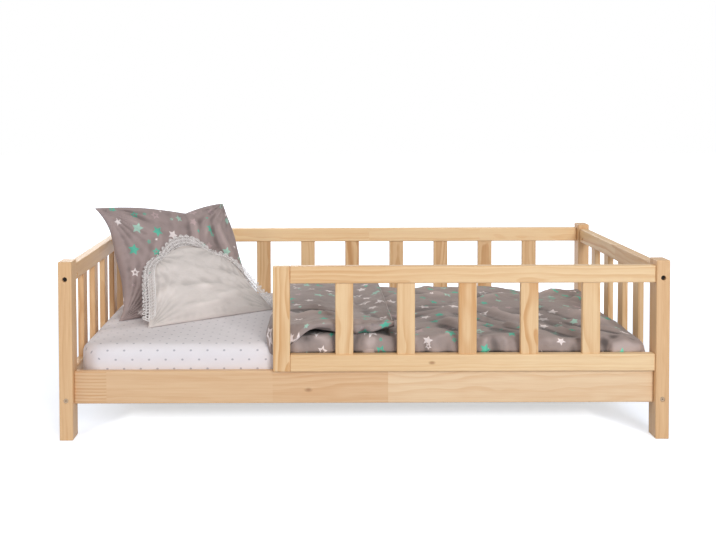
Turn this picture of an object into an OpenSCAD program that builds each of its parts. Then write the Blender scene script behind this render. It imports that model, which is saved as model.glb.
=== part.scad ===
// Child's bed in solid pine with a made-up mattress: four posts, slatted back and ends,
// a part-length guard along the front, a slatted base, and the bedding that lies on it.
// Millimetres. X runs along the bed, Y to the back and Z up, from the floor at its centre.

/* [Mattress] */
// Length of the mattress
mattress_l = 1600; // [1400:10:2000]
// Width of the mattress
mattress_w = 800; // [700:10:1000]
// Thickness of the mattress
mattress_t = 100; // [70:5:150]
// Radius of the mattress's long edges
mattress_edge = 28; // [15:1:34]
// Radius of the mattress's corners, seen from above
mattress_corner = 60; // [55:1:90]
// How much the middle of the mattress stands above its edges
crown = 5; // [0:1:10]
// Free length between each end of the mattress and the posts
end_clear = 10; // [4:1:30]
// Free width between the mattress and the front board
side_clear = 4; // [3:1:20]

/* [Posts] */
// Size of a post along the bed
post_x = 38; // [34:1:60]
// Size of a post across the bed
post_y = 60; // [54:1:90]
// Height of the posts
post_h = 500; // [440:5:700]
// Softened edges of the posts
post_round = 3; // [1:0.5:5]

/* [Boards and rails] */
// Height of the wide boards round the base
board_h = 92; // [80:1:120]
// Thickness of the wide boards
board_t = 22; // [20:1:26]
// Free height under the boards
board_z = 98; // [60:1:160]
// Height of the rails
rail_h = 48; // [44:1:70]
// Thickness of the rails
rail_t = 28; // [26:1:30]
// How far the top rails lie below the post tops
rail_drop = 15; // [5:1:40]
// How far the rails lie behind the posts' outer faces
rail_recess = 5; // [3:1:8]
// Softened edges of the boards and rails
rail_round = 4; // [1:0.5:5]

/* [Slats] */
// Width of an upright slat
slat_w = 50; // [30:1:70]
// Thickness of an upright slat
slat_t = 18; // [14:1:19]
// Softened edges of the slats
slat_round = 3; // [1:0.5:4]
// How deep a slat's ends sit in their mortises
tenon = 12; // [8:1:15]
// Space between a post and the first back slat
back_gap = 145; // [80:1:170]
// Space between a post and the first end slat
end_gap = 132; // [70:1:150]

/* [Front guard] */
// Length of the guard, from its free end to the right posts
guard_l = 1063.5; // [800:0.5:1250]
// Width of the guard's upright stile
stile_w = 48; // [40:1:70]
// Space between the stile and the first guard slat
guard_first_gap = 126; // [60:1:140]
// Space between the last guard slat and the post
guard_last_gap = 152; // [60:1:160]

/* [Base] */
// Height of the cleats that carry the base
cleat_h = 25; // [20:1:34]
// Width of the cleats
cleat_w = 25; // [20:1:34]
// Width of a base slat
base_w = 70; // [50:1:90]
// Thickness of a base slat
base_t = 18; // [14:1:22]
// How far the top of the base lies below the top of the boards
base_drop = 37; // [30:1:44]
// Space between the first base slat and the end board
base_first_gap = 68; // [30:1:90]
// Space between a base slat's ends and the long boards
base_end_clear = 2; // [1:0.5:5]
// Softened edges of the base slats
base_round = 2; // [1:0.5:4]
// Width of the webbing under the base slats
webbing_w = 20; // [12:1:40]
// Thickness of the webbing
webbing_t = 1.2; // [0.8:0.1:2]
// Distance of each webbing band from the bed's centre line
webbing_y = 240; // [150:5:300]

/* [Fasteners] */
// Shank diameter of the bolts
bolt_d = 6; // [5:0.5:6.5]
// Head diameter of the bolts
bolt_head_d = 12.5; // [11:0.5:13]
// Thickness of the bolt heads
bolt_head_t = 2.5; // [1.5:0.5:3]
// Diameter of the drilled hole round a bolt
bolt_hole_d = 7; // [6.8:0.1:7.4]
// Diameter of the countersunk holes in the posts
bolt_pocket_d = 14; // [13.5:0.5:15]
// Depth of the holes over the upper bolt heads
upper_pocket = 10; // [6:0.5:11]
// Depth of the holes over the lower and side bolt heads
lower_pocket = 3; // [3:0.5:6]
// Width across the corners of the bolts' hexagon sockets
bolt_socket_d = 4.6; // [3:0.1:5.5]
// Depth of the bolts' hexagon sockets
bolt_socket_t = 3.5; // [2:0.5:5]
// Height of the upper bolts above the bottom edge of the top rails
upper_bolt_up = 14; // [12:1:15]
// Height of the lower bolts above the bottom edge of the boards
lower_bolt_up = 14; // [12:1:20]
// Height of an end rail's dowels above its bolts
rail_dowel_up = 20; // [16:1:24]
// Height of an end board's dowels above its bolts
board_dowel_up = 53; // [40:1:60]
// Height of the side rails' bolts above the upper bolts
side_rail_up = 10; // [8:1:12]
// Height of a side rail's dowels above its bolts
side_rail_dowel_up = 15; // [12:1:18]
// Height of the long boards' bolts above the lower bolts
side_board_up = 32; // [24:1:40]
// Height of a long board's dowels above its bolts
side_board_dowel_up = 28; // [16:1:32]
// Height of the guard's lower bolt above the front board
guard_bolt_up = 15; // [12:1:18]
// Height of the guard's lower dowel above its bolt
guard_dowel_up = 20; // [16:1:26]
// Distance of the stile's dowels from the edges of the guard's rails
stile_dowel_in = 12; // [8:1:16]
// How far a barrel nut lies inside the rail's end
nut_in = 32; // [24:1:45]
// Diameter of a barrel nut
nut_d = 10; // [9:0.5:12]
// Length of a barrel nut
nut_l = 12; // [10:1:14]
// Diameter of the dowels
dowel_d = 8; // [6:1:8]
// How deep a dowel reaches into each piece
dowel_in = 15; // [10:1:15]
// Shank diameter of the screws
screw_d = 4; // [3:0.5:4.5]
// Head diameter of the screws
screw_head_d = 8; // [7:0.5:9]
// Length of the screws
screw_l = 35; // [30:1:38]

/* [Star pillow] */
// Width between the pillow's corners
star_w = 520; // [450:1:560]
// Height between the pillow's corners
star_h = 372; // [300:1:420]
// Thickness of the filled middle
star_t = 120; // [80:1:140]
// How far the sides draw in between the corners, as a share
star_draw = 0.17; // [0.1:0.01:0.22]
// How far the upper corner at the back rail hangs, as a share
star_slump = 0.11; // [0:0.01:0.2]
// Turn of the pillow across the corner of the bed, in degrees
star_turn = 42; // [38:0.5:48]
// Lean of the pillow from upright, in degrees
star_lean = 22; // [18:0.5:26]
// How far its foot stands from the line where it would meet the end rail
star_from_end = 5; // [2:1:20]
// How far its foot stands from the line where it would meet the back rail
star_from_back = 91; // [20:1:110]

/* [Lace pillow] */
// Width of the pillow's foot
lace_w = 455; // [380:1:470]
// Height of the pillow
lace_h = 297; // [240:1:320]
// Thickness of the filled middle
lace_t = 96; // [60:1:110]
// Width of its upper edge, as a share of its foot
lace_top = 0.6; // [0.5:0.01:0.9]
// Roundness of its upper corners, as a share
lace_bend = 0.6; // [0.3:0.05:0.7]
// How far its sides draw in, as a share
lace_draw = 0.05; // [0:0.01:0.1]
// How much less it is turned than the star pillow, in degrees
lace_turn_less = 6.5; // [2:0.5:9]
// How much more it leans than the star pillow, in degrees
lace_lean_more = 24; // [15:0.5:28]
// How far its foot stands in front of the star pillow
lace_out = 86; // [70:1:115]
// How far its left corner lies past the star pillow's
lace_along = 14; // [-20:1:40]
// Width of the lace frill
frill_w = 26; // [12:1:30]
// Depth of the scallops in the frill's edge
scallop = 5; // [2:0.5:8]
// Thickness of the frill
frill_t = 1.2; // [0.8:0.1:2]

/* [Duvet] */
// Length of mattress left bare between its head end and the duvet's fold
bare_l = 523; // [500:1:800]
// Space between the duvet and the mattress's foot end
duvet_inset = 1; // [0.5:0.5:20]
// How far round the mattress's front edge the duvet reaches, in degrees
duvet_round = 80; // [70:1:85]
// Length of the part that is folded back over
duvet_flap = 338; // [250:1:450]
// Thickness of one layer
duvet_t = 30; // [20:1:40]
// Height of the main folds in it
duvet_fold = 8; // [0:0.5:10]
// Opening between the two layers at the flap's free edge
duvet_mouth = 12; // [6:1:20]
// How far the folded edge runs towards the foot end at the back
duvet_skew = 75; // [60:5:200]
// How much shorter the folded part is at the back
flap_skew = 45; // [0:5:100]
// How far the back edge is drawn in towards the foot end
duvet_back_in = 80; // [0:5:120]
// Length of the duvet along which its back edge is drawn in
duvet_back_l = 400; // [300:10:450]

/* [Hidden] */
BACK_SLATS = 9;
END_SLATS = 4;
GUARD_SLATS = 5;
BASE_SLATS = 12;
CLEAT_SCREWS = 6;
GUARD_DOWELS = 3;

PINE = [0.90, 0.75, 0.55];
PINE_POST = [0.87, 0.69, 0.50];
PINE_BASE = [0.88, 0.76, 0.60];
ZINC = [0.72, 0.73, 0.74];
BEECH = [0.80, 0.64, 0.46];
WEBBING = [0.93, 0.92, 0.88];
FOAM = [0.95, 0.94, 0.90];
SHEET = [0.92, 0.89, 0.90];
STAR_COTTON = [0.60, 0.55, 0.55];
PLAIN_COTTON = [0.80, 0.78, 0.76];
LACE = [0.93, 0.92, 0.91];

// Clearances
fit = 0.2;
soft_gap = 0.3;
cut_over = 1;
round_fn = 32;
bore_fn = 48;

// Places that the frame's pieces share
inner_l = mattress_l + 2 * end_clear;
bed_l = inner_l + 2 * post_x;
post_cx = (inner_l + post_x) / 2;
front_board_y = -(mattress_w / 2 + side_clear + board_t / 2);
bed_w = 2 * (-front_board_y + post_y / 2);
post_cy = (bed_w - post_y) / 2;
inner_w = bed_w - 2 * post_y;
panel_y = bed_w / 2 - rail_recess - rail_t / 2;
board_top = board_z + board_h;
rail_z = post_h - rail_drop - rail_h;
rail_top = rail_z + rail_h;
guard_x0 = inner_l / 2 - guard_l;
guard_rail_x0 = guard_x0 + stile_w;
guard_rail_l = inner_l / 2 - guard_rail_x0;
guard_low_top = board_top + rail_h;

// Places of the base
base_top = board_top - base_drop;
base_z = base_top - base_t;
front_inside = front_board_y + board_t / 2;
back_inside = panel_y - board_t / 2;
end_inside = post_cx - board_t / 2;

// Places of the joints in the posts
upper_bolt_z = rail_z + upper_bolt_up;
lower_bolt_z = board_z + lower_bolt_up;
upper_dowel_z = upper_bolt_z + rail_dowel_up;
lower_dowel_z = lower_bolt_z + board_dowel_up;
side_rail_bolt_z = upper_bolt_z + side_rail_up;
side_rail_dowel_z = side_rail_bolt_z + side_rail_dowel_up;
side_board_bolt_z = lower_bolt_z + side_board_up;
side_board_dowel_z = side_board_bolt_z + side_board_dowel_up;
guard_bolt_z = board_top + guard_bolt_up;
guard_dowel_z = guard_bolt_z + guard_dowel_up;
bolt_tip_room = 4;

// Places of the bedding
sheet_t = 1.2;
sheet_gap = 1;
mattress_z = base_top + soft_gap + sheet_t + sheet_gap;
mattress_top = mattress_z + mattress_t;
sheet_out = sheet_t + sheet_gap;
sheet_hem = 7;
sheet_top = mattress_top + sheet_out;
lie_gap = 0.5;

// Rectangle with round corners, drawn with true arcs
module round_rect(size, r) {
  translate([r, 0]) square([size[0] - 2 * r, size[1]]);
  translate([0, r]) square([size[0], size[1] - 2 * r]);
  for (x = [r, size[0] - r], y = [r, size[1] - r])
    translate([x, y]) circle(r, $fn = round_fn);
}

// Planed timber with every edge softened, from its lowest corner
module timber(size, r) {
  intersection() {
    linear_extrude(size[2]) round_rect([size[0], size[1]], r);
    translate([0, size[1], 0]) rotate([90, 0, 0])
      linear_extrude(size[1]) round_rect([size[0], size[2]], r);
    rotate([90, 0, 90]) linear_extrude(size[0]) round_rect([size[1], size[2]], r);
  }
}

// Frames at the outer face of a post, with local Z into the timber
module from_end(sx, sy, z) {
  translate([sx * post_cx, sy * bed_w / 2, z]) rotate([sy * 90, 0, 0]) children();
}
module from_side(sx, y, z) {
  translate([sx * bed_l / 2, y, z]) rotate([0, -sx * 90, 0]) children();
}

// Bolt with a flat head and a hexagon socket, its head seated at a depth
module bolt(pocket, through) {
  length = through - pocket + nut_in + nut_d / 2;
  translate([0, 0, pocket]) difference() {
    union() {
      translate([0, 0, -bolt_head_t]) cylinder(d = bolt_head_d, h = bolt_head_t, $fn = bore_fn);
      cylinder(d = bolt_d, h = length, $fn = bore_fn);
    }
    translate([0, 0, -bolt_head_t - cut_over])
      cylinder(d = bolt_socket_d, h = bolt_socket_t + cut_over, $fn = 6);
  }
}

// Everything that is drilled for one bolt: pocket, bolt hole and the nut's cross hole
module bolt_cut(pocket, through, nut_turn) {
  translate([0, 0, -cut_over]) cylinder(d = bolt_pocket_d, h = pocket + cut_over, $fn = bore_fn);
  cylinder(d = bolt_hole_d, h = through + nut_in + nut_d / 2 + bolt_tip_room, $fn = bore_fn);
  translate([0, 0, through + nut_in]) rotate(nut_turn)
    translate([0, 0, -nut_l / 2 - fit])
      cylinder(d = nut_d + fit, h = rail_t, $fn = bore_fn);
}

// Barrel nut with its threaded cross hole left plain
module barrel_nut(through, nut_turn) {
  translate([0, 0, through + nut_in]) difference() {
    rotate(nut_turn) cylinder(d = nut_d, h = nut_l, center = true, $fn = bore_fn);
    cylinder(d = bolt_d + fit / 2, h = nut_d + 2 * cut_over, center = true, $fn = bore_fn);
  }
}

// Dowel across a joint at a depth, and the hole for it
module dowel(depth) {
  translate([0, 0, depth - dowel_in]) cylinder(d = dowel_d, h = 2 * dowel_in, $fn = bore_fn);
}
module dowel_cut(depth) {
  translate([0, 0, depth - dowel_in - fit])
    cylinder(d = dowel_d + fit / 2, h = 2 * (dowel_in + fit), $fn = bore_fn);
}

// The ends' barrel nuts are put in from the face that looks into the bed, the sides' from
// the face that looks to the back
function end_nut(sx) = [0, -sx * 90, 0];
SIDE_NUT = [-90, 0, 0];

// End joints tie the end rails and boards to the posts along Y
module end_cuts(sx, sy) {
  from_end(sx, sy, upper_bolt_z) bolt_cut(upper_pocket, post_y, end_nut(sx));
  from_end(sx, sy, lower_bolt_z) bolt_cut(lower_pocket, post_y, end_nut(sx));
  from_end(sx, sy, upper_dowel_z) dowel_cut(post_y);
  from_end(sx, sy, lower_dowel_z) dowel_cut(post_y);
}

// Side joints tie the long boards and rails to the posts along X: side, place in Y,
// height of the bolt and height of the dowel
side_joints = [
  for (sx = [-1, 1]) [sx, front_board_y, side_board_bolt_z, side_board_dowel_z],
  for (sx = [-1, 1]) [sx, panel_y, side_board_bolt_z, side_board_dowel_z],
  for (sx = [-1, 1]) [sx, panel_y, side_rail_bolt_z, side_rail_dowel_z],
  [1, -panel_y, guard_bolt_z, guard_dowel_z],
  [1, -panel_y, side_rail_bolt_z, side_rail_dowel_z]
];
module side_cuts(sx, sy) {
  for (j = side_joints) if (j[0] == sx && sign(j[1]) == sy) {
    from_side(sx, j[1], j[2]) bolt_cut(lower_pocket, post_x, SIDE_NUT);
    from_side(sx, j[1], j[3]) dowel_cut(post_x);
  }
}

module post(sx, sy) {
  color(PINE_POST) difference() {
    translate([sx * post_cx - post_x / 2, sy * post_cy - post_y / 2, 0])
      timber([post_x, post_y, post_h], post_round);
    end_cuts(sx, sy);
    side_cuts(sx, sy);
  }
}

// Upright slats: a row along one axis, each seated in a mortise at both ends
function slat_place(i, n, first, last, from, run) =
  from + first + slat_w / 2 + i * (run - first - last - slat_w) / (n - 1);
function back_slat_x(i) = slat_place(i, BACK_SLATS, back_gap, back_gap, -inner_l / 2, inner_l);
function end_slat_y(i) = slat_place(i, END_SLATS, end_gap, end_gap, -inner_w / 2, inner_w);
function guard_slat_x(i) =
  slat_place(i, GUARD_SLATS, guard_first_gap, guard_last_gap, guard_rail_x0, guard_rail_l);

module slat_profile(grow) {
  translate([-slat_w / 2 - grow, -slat_t / 2 - grow])
    round_rect([slat_w + 2 * grow, slat_t + 2 * grow], slat_round + grow);
}
module slat(low, high) {
  translate([0, 0, low - tenon]) linear_extrude(high - low + 2 * tenon - fit) slat_profile(0);
}
// The mortise over a slat's upper end, and the one under its lower end
module mortise_up(z) {
  translate([0, 0, z - cut_over]) linear_extrude(tenon + cut_over) slat_profile(fit);
}
module mortise_down(z) {
  translate([0, 0, z - tenon]) linear_extrude(tenon + cut_over) slat_profile(fit);
}

// Where each slat of a panel stands, turned to lie along its rail
module at_back_slat(i) {
  translate([back_slat_x(i), panel_y, 0]) children();
}
module at_end_slat(sx, i) {
  translate([sx * post_cx, end_slat_y(i), 0]) rotate(90) children();
}
module at_guard_slat(i) {
  translate([guard_slat_x(i), -panel_y, 0]) children();
}

module long_board(y) {
  translate([-inner_l / 2, y - board_t / 2, board_z]) timber([inner_l, board_t, board_h], rail_round);
}
module front_board() {
  color(PINE) difference() {
    long_board(front_board_y);
    for (sx = [-1, 1]) side_cuts(sx, -1);
    guard_foot_dowels() dowel_cut(0);
    cleat_screw_places(-1) screw(fit / 2);
  }
}
module back_board() {
  color(PINE) difference() {
    long_board(panel_y);
    for (sx = [-1, 1]) side_cuts(sx, 1);
    for (i = [0:BACK_SLATS - 1]) at_back_slat(i) mortise_down(board_top);
    cleat_screw_places(1) screw(fit / 2);
  }
}
module end_board(sx) {
  color(PINE) difference() {
    translate([sx * post_cx - board_t / 2, -inner_w / 2, board_z])
      timber([board_t, inner_w, board_h], rail_round);
    for (sy = [-1, 1]) end_cuts(sx, sy);
    for (i = [0:END_SLATS - 1]) at_end_slat(sx, i) mortise_down(board_top);
  }
}

module back_top_rail() {
  color(PINE) difference() {
    translate([-inner_l / 2, panel_y - rail_t / 2, rail_z]) timber([inner_l, rail_t, rail_h], rail_round);
    for (sx = [-1, 1]) side_cuts(sx, 1);
    for (i = [0:BACK_SLATS - 1]) at_back_slat(i) mortise_up(rail_z);
  }
}
module end_top_rail(sx) {
  color(PINE) difference() {
    translate([sx * post_cx - rail_t / 2, -inner_w / 2, rail_z])
      timber([rail_t, inner_w, rail_h], rail_round);
    for (sy = [-1, 1]) end_cuts(sx, sy);
    for (i = [0:END_SLATS - 1]) at_end_slat(sx, i) mortise_up(rail_z);
  }
}

// The guard: a stile at its free end, two rails that run to the post, and slats between
// Dowels under the guard stand in the middle of the strip where rail and board overlap
guard_foot_y = (max(-panel_y - rail_t / 2, front_board_y - board_t / 2)
  + min(-panel_y + rail_t / 2, front_board_y + board_t / 2)) / 2;
module guard_foot_dowels() {
  for (i = [0:GUARD_DOWELS - 1])
    translate([guard_rail_x0 + guard_rail_l * (i + 0.5) / GUARD_DOWELS, guard_foot_y, board_top])
      children();
}
module stile_dowels() {
  for (z = [board_top, rail_z], up = [stile_dowel_in, rail_h - stile_dowel_in])
    translate([guard_rail_x0, -panel_y, z + up]) rotate([0, 90, 0]) children();
}
module guard_stile() {
  color(PINE) difference() {
    translate([guard_x0, -panel_y - rail_t / 2, board_top])
      timber([stile_w, rail_t, rail_top - board_top], rail_round);
    stile_dowels() dowel_cut(0);
  }
}
module guard_rail(z) {
  translate([guard_rail_x0, -panel_y - rail_t / 2, z]) timber([guard_rail_l, rail_t, rail_h], rail_round);
}
module guard_top_rail() {
  color(PINE) difference() {
    guard_rail(rail_z);
    side_cuts(1, -1);
    stile_dowels() dowel_cut(0);
    for (i = [0:GUARD_SLATS - 1]) at_guard_slat(i) mortise_up(rail_z);
  }
}
module guard_bottom_rail() {
  color(PINE) difference() {
    guard_rail(board_top);
    side_cuts(1, -1);
    stile_dowels() dowel_cut(0);
    guard_foot_dowels() dowel_cut(0);
    for (i = [0:GUARD_SLATS - 1]) at_guard_slat(i) mortise_down(guard_low_top);
  }
}

// Countersunk screw along Z with its head's face at the origin
module screw(grow) {
  head_h = (screw_head_d - screw_d) / 2;
  translate([0, 0, -grow]) cylinder(d1 = screw_head_d + 2 * grow, d2 = screw_d + 2 * grow,
                                    h = head_h, $fn = round_fn);
  translate([0, 0, -grow]) cylinder(d = screw_d + 2 * grow, h = screw_l + 2 * grow, $fn = round_fn);
}

// The base: cleats on the long boards, slats across them, and webbing under the slats
module cleat_screw_places(sy) {
  y = sy < 0 ? front_inside + cleat_w : back_inside - cleat_w;
  for (i = [0:CLEAT_SCREWS - 1])
    translate([-inner_l / 2 + inner_l * (i + 0.5) / CLEAT_SCREWS, y, base_z - cleat_h / 2])
      rotate([-sy * 90, 0, 0]) children();
}
module base_screw_places() {
  for (i = [0:BASE_SLATS - 1], y = [front_inside + cleat_w / 2, back_inside - cleat_w / 2])
    translate([base_slat_x(i), y, base_top]) rotate([180, 0, 0]) children();
}
function base_slat_x(i) = -end_inside + base_first_gap + base_w / 2
  + i * (2 * end_inside - 2 * base_first_gap - base_w) / (BASE_SLATS - 1);

module cleat(sy) {
  y = sy < 0 ? front_inside : back_inside - cleat_w;
  color(PINE_BASE) difference() {
    translate([-inner_l / 2 + base_end_clear, y, base_z - cleat_h])
      cube([inner_l - 2 * base_end_clear, cleat_w, cleat_h]);
    cleat_screw_places(sy) screw(fit / 2);
    base_screw_places() screw(fit / 2);
  }
}
module base_slats() {
  y0 = front_inside + base_end_clear;
  y1 = back_inside - base_end_clear;
  color(PINE_BASE) difference() {
    for (i = [0:BASE_SLATS - 1])
      translate([base_slat_x(i) - base_w / 2, y0, base_z])
        timber([base_w, y1 - y0, base_t], base_round);
    base_screw_places() screw(fit / 2);
  }
}
module base_webbing() {
  x0 = base_slat_x(0) - base_w / 4;
  color(WEBBING) for (y = [-webbing_y, webbing_y])
    translate([x0, y - webbing_w / 2, base_z - webbing_t]) cube([-2 * x0, webbing_w, webbing_t]);
}

module end_bolts() {
  color(ZINC) for (sx = [-1, 1], sy = [-1, 1]) {
    from_end(sx, sy, upper_bolt_z) bolt(upper_pocket, post_y);
    from_end(sx, sy, lower_bolt_z) bolt(lower_pocket, post_y);
  }
}
module side_bolts() {
  color(ZINC) for (j = side_joints) from_side(j[0], j[1], j[2]) bolt(lower_pocket, post_x);
}
module barrel_nuts() {
  color(ZINC) {
    for (sx = [-1, 1], sy = [-1, 1], z = [upper_bolt_z, lower_bolt_z])
      from_end(sx, sy, z) barrel_nut(post_y, end_nut(sx));
    for (j = side_joints) from_side(j[0], j[1], j[2]) barrel_nut(post_x, SIDE_NUT);
  }
}
module dowels() {
  color(BEECH) {
    for (sx = [-1, 1], sy = [-1, 1], z = [upper_dowel_z, lower_dowel_z])
      from_end(sx, sy, z) dowel(post_y);
    for (j = side_joints) from_side(j[0], j[1], j[3]) dowel(post_x);
    stile_dowels() dowel(0);
    guard_foot_dowels() dowel(0);
  }
}
module cleat_screws() {
  color(ZINC) for (sy = [-1, 1]) cleat_screw_places(sy) screw(0);
}
module base_screws() {
  color(ZINC) base_screw_places() screw(0);
}

// A closed soft form from two grids of points with the same edge: its faces are the two
// grids and a wall between their edges
module grid_solid(upper, lower) {
  rows = len(upper);
  cols = len(upper[0]);
  n = rows * cols;
  function at(i, j) = i * cols + j;
  rim = concat(
    [for (i = [0:rows - 2]) at(i, 0)],
    [for (j = [0:cols - 2]) at(rows - 1, j)],
    [for (i = [rows - 1:-1:1]) at(i, cols - 1)],
    [for (j = [cols - 1:-1:1]) at(0, j)]);
  rims = len(rim);
  polyhedron(
    points = concat([for (row = upper) each row], [for (row = lower) each row]),
    faces = concat(
      [for (i = [0:rows - 2], j = [0:cols - 2]) each [
        [at(i, j), at(i, j + 1), at(i + 1, j + 1)],
        [at(i, j), at(i + 1, j + 1), at(i + 1, j)]]],
      [for (i = [0:rows - 2], j = [0:cols - 2]) each [
        [n + at(i, j), n + at(i + 1, j + 1), n + at(i, j + 1)],
        [n + at(i, j), n + at(i + 1, j), n + at(i + 1, j + 1)]]],
      [for (k = [0:rims - 1]) let (a = rim[k], b = rim[(k + 1) % rims]) each [
        [a, b, n + b], [a, n + b, n + a]]]));
}

// Outline and section of the mattress. The section is a walk outwards from the flat top or
// bottom; its stops are [run out from the corner's centre, height, share of the crown]
arc_steps = [0, 30, 60, 90];
pad_cells_x = 6;
pad_cells_y = 4;
function crown_at(x, y) =
  crown * max(0, 1 - pow(2 * x / mattress_l, 2)) * max(0, 1 - pow(2 * y / mattress_w, 2));
function arc_run(out, angle) =
  mattress_corner - mattress_edge + (mattress_edge + out) * sin(angle);
function arc_drop(out, angle) = (mattress_edge + out) * (1 - cos(angle));
function top_arc(out, angle) = [
  arc_run(out, angle), mattress_top + out - arc_drop(out, angle), 1];
function bottom_arc(out, angle) = [
  arc_run(out, angle), mattress_z - out + arc_drop(out, angle), 0];
function pad_stations(half, cells, stops) = let (flat = half - mattress_corner) concat(
  [for (k = [len(stops) - 1:-1:0]) [-flat, -k - 1]],
  [for (i = [0:cells]) [flat * (2 * i / cells - 1), 0]],
  [for (k = [0:len(stops) - 1]) [flat, k + 1]]);
function pad_point(a, b, stops) =
  let (
    s = max(abs(a[1]), abs(b[1])),
    stop = s == 0 ? [0, stops[0][1], stops[0][2]] : stops[s - 1],
    turn = s == 0 ? 0 : abs(a[1]) >= abs(b[1]) ? 45 * abs(b[1]) / abs(a[1])
      : 90 - 45 * abs(a[1]) / abs(b[1]),
    x = a[0] + sign(a[1]) * stop[0] * cos(turn),
    y = b[0] + sign(b[1]) * stop[0] * sin(turn))
  [x, y, stop[1] + stop[2] * crown_at(x, y)];
function pad_grid(stops) = [
  for (a = pad_stations(mattress_l / 2, pad_cells_x, stops))
    [for (b = pad_stations(mattress_w / 2, pad_cells_y, stops)) pad_point(a, b, stops)]];

module mattress() {
  color(FOAM) grid_solid(
    pad_grid([for (q = arc_steps) top_arc(0, q)]),
    pad_grid([for (q = arc_steps) bottom_arc(0, q)]));
}

// The sheet runs over the top, down the sides and a hem's width under the bottom
function sheet_stops(out) = concat(
  [for (q = arc_steps) top_arc(out, q)],
  [for (k = [len(arc_steps) - 1:-1:0]) bottom_arc(out, arc_steps[k])],
  [[arc_run(out, 0) - sheet_hem, mattress_z - out, 0]]);
module fitted_sheet() {
  color(SHEET) grid_solid(pad_grid(sheet_stops(sheet_out)), pad_grid(sheet_stops(sheet_gap)));
}

// Height of the made bed at a place, with its rounded edges
bed_round = mattress_edge + sheet_out;
bed_flat_x = mattress_l / 2 - mattress_edge;
bed_flat_y = mattress_w / 2 - mattress_edge;
function bed_at(x, y) =
  let (d = min(bed_round, norm([max(0, abs(x) - bed_flat_x), max(0, abs(y) - bed_flat_y)])))
  sheet_top - bed_round + sqrt(bed_round * bed_round - d * d) + crown_at(x, y);

// What would reach into the bed, or into the pillow behind, is pressed flat on it
press = 2;
function pressed(d) = (d + sqrt(d * d + press * press)) / 2;
function lie_on_bed(p, lift = lie_gap) =
  let (low = bed_at(p[0], p[1]) + lift) [p[0], p[1], low + pressed(p[2] - low)];

// Pillows: u runs along the foot and v up the side, both from -1 to 1, with the grid's
// lines drawn together near the seam
seam_t = 2;
crown_power = 0.42;
STAR_CELLS = [16, 14];
LACE_CELLS = [14, 12];
function near_edges(i, n) = sin(90 * (2 * i / n - 1));
function pillow_frame(turn, lean) = [
  [cos(turn), sin(turn), 0],
  [-sin(lean) * sin(turn), sin(lean) * cos(turn), cos(lean)],
  [cos(lean) * sin(turn), -cos(lean) * cos(turn), sin(lean)]];
function in_frame(foot, frame, p) = foot + p[0] * frame[0] + p[1] * frame[1] + p[2] * frame[2];
function crowned(u, v, t) =
  seam_t / 2 + (t - seam_t) / 2 * pow(max(0, 1 - u * u) * max(0, 1 - v * v), crown_power);

// The star pillow is flat along its foot, and its top dips towards the back rail
star_frame = pillow_frame(star_turn, star_lean);
star_dip = 1.34;
star_dip_u = 0.3;
star_dip_round = [1.6, 1.2];
lean_run = (rail_top - sheet_top) * tan(star_lean);
star_foot = [
  -(post_cx - rail_t / 2) + star_from_end + lean_run * sin(star_turn),
  panel_y - rail_t / 2 - star_from_back - lean_run * cos(star_turn) - star_w * sin(star_turn),
  sheet_top];
function star_side_in(u, v) =
  u < 0 ? star_draw * (1 - pow(v, 4)) : star_slump / 2 * pow((1 + v) / 2, 2);
function star_dip_at(u) = u < star_dip_u
  ? pow((1 + u) / (1 + star_dip_u), star_dip_round[0])
  : pow((1 - u) / (1 - star_dip_u), star_dip_round[1]);
function star_top_in(u, v) =
  v < 0 ? 0 : star_draw * star_dip * star_dip_at(u) + star_slump * pow((1 + u) / 2, 4);
function star_outline(u, v) = [
  star_w / 2 * (1 + u * (1 - star_side_in(u, v))),
  star_h / 2 * (1 + v * (1 - star_top_in(u, v)))];
function star_side(side) = [
  for (i = [0:STAR_CELLS[0]]) [for (j = [0:STAR_CELLS[1]])
    let (u = near_edges(i, STAR_CELLS[0]), v = near_edges(j, STAR_CELLS[1])) lie_on_bed(
      in_frame(star_foot, star_frame, concat(star_outline(u, v), [side * crowned(u, v, star_t)])))]];
module star_pillow() {
  color(STAR_COTTON) grid_solid(star_side(1), star_side(-1));
}

// The lace pillow leans on the star pillow and narrows to a rounded upper edge
lean_gap = 1.5;
function lie_on_star(p) =
  let (
    d = p - star_foot,
    u = 2 * d * star_frame[0] / star_w - 1,
    v = 2 * d * star_frame[1] / star_h - 1,
    low = crowned(u, v, star_t) + lean_gap)
  p + star_frame[2] * (low + pressed(d * star_frame[2] - low) - d * star_frame[2]);
lace_frame = pillow_frame(star_turn - lace_turn_less, star_lean + lace_lean_more);
lace_foot = star_foot + lace_along * star_frame[0]
  + (star_t / 2 + lace_out) * [sin(star_turn), -cos(star_turn), 0];
function lace_outline(u, v) =
  let (
    rise = (1 + v) / 2,
    bend = lace_bend * rise * rise,
    wide = (1 + (lace_top - 1) * rise) * (1 - lace_draw * (1 - v * v)))
  [lace_w / 2 * (1 + u * wide * sqrt(1 - bend * v * v)),
   lace_h / 2 * (1 + v * sqrt(1 - bend * u * u))];
function lace_side(side) = [
  for (i = [0:LACE_CELLS[0]]) [for (j = [0:LACE_CELLS[1]])
    let (u = near_edges(i, LACE_CELLS[0]), v = near_edges(j, LACE_CELLS[1])) lie_on_bed(
      lie_on_star(in_frame(lace_foot, lace_frame,
        concat(lace_outline(u, v), [side * crowned(u, v, lace_t)]))))]];
module lace_pillow() {
  color(PLAIN_COTTON) grid_solid(lace_side(1), lace_side(-1));
}

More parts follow.
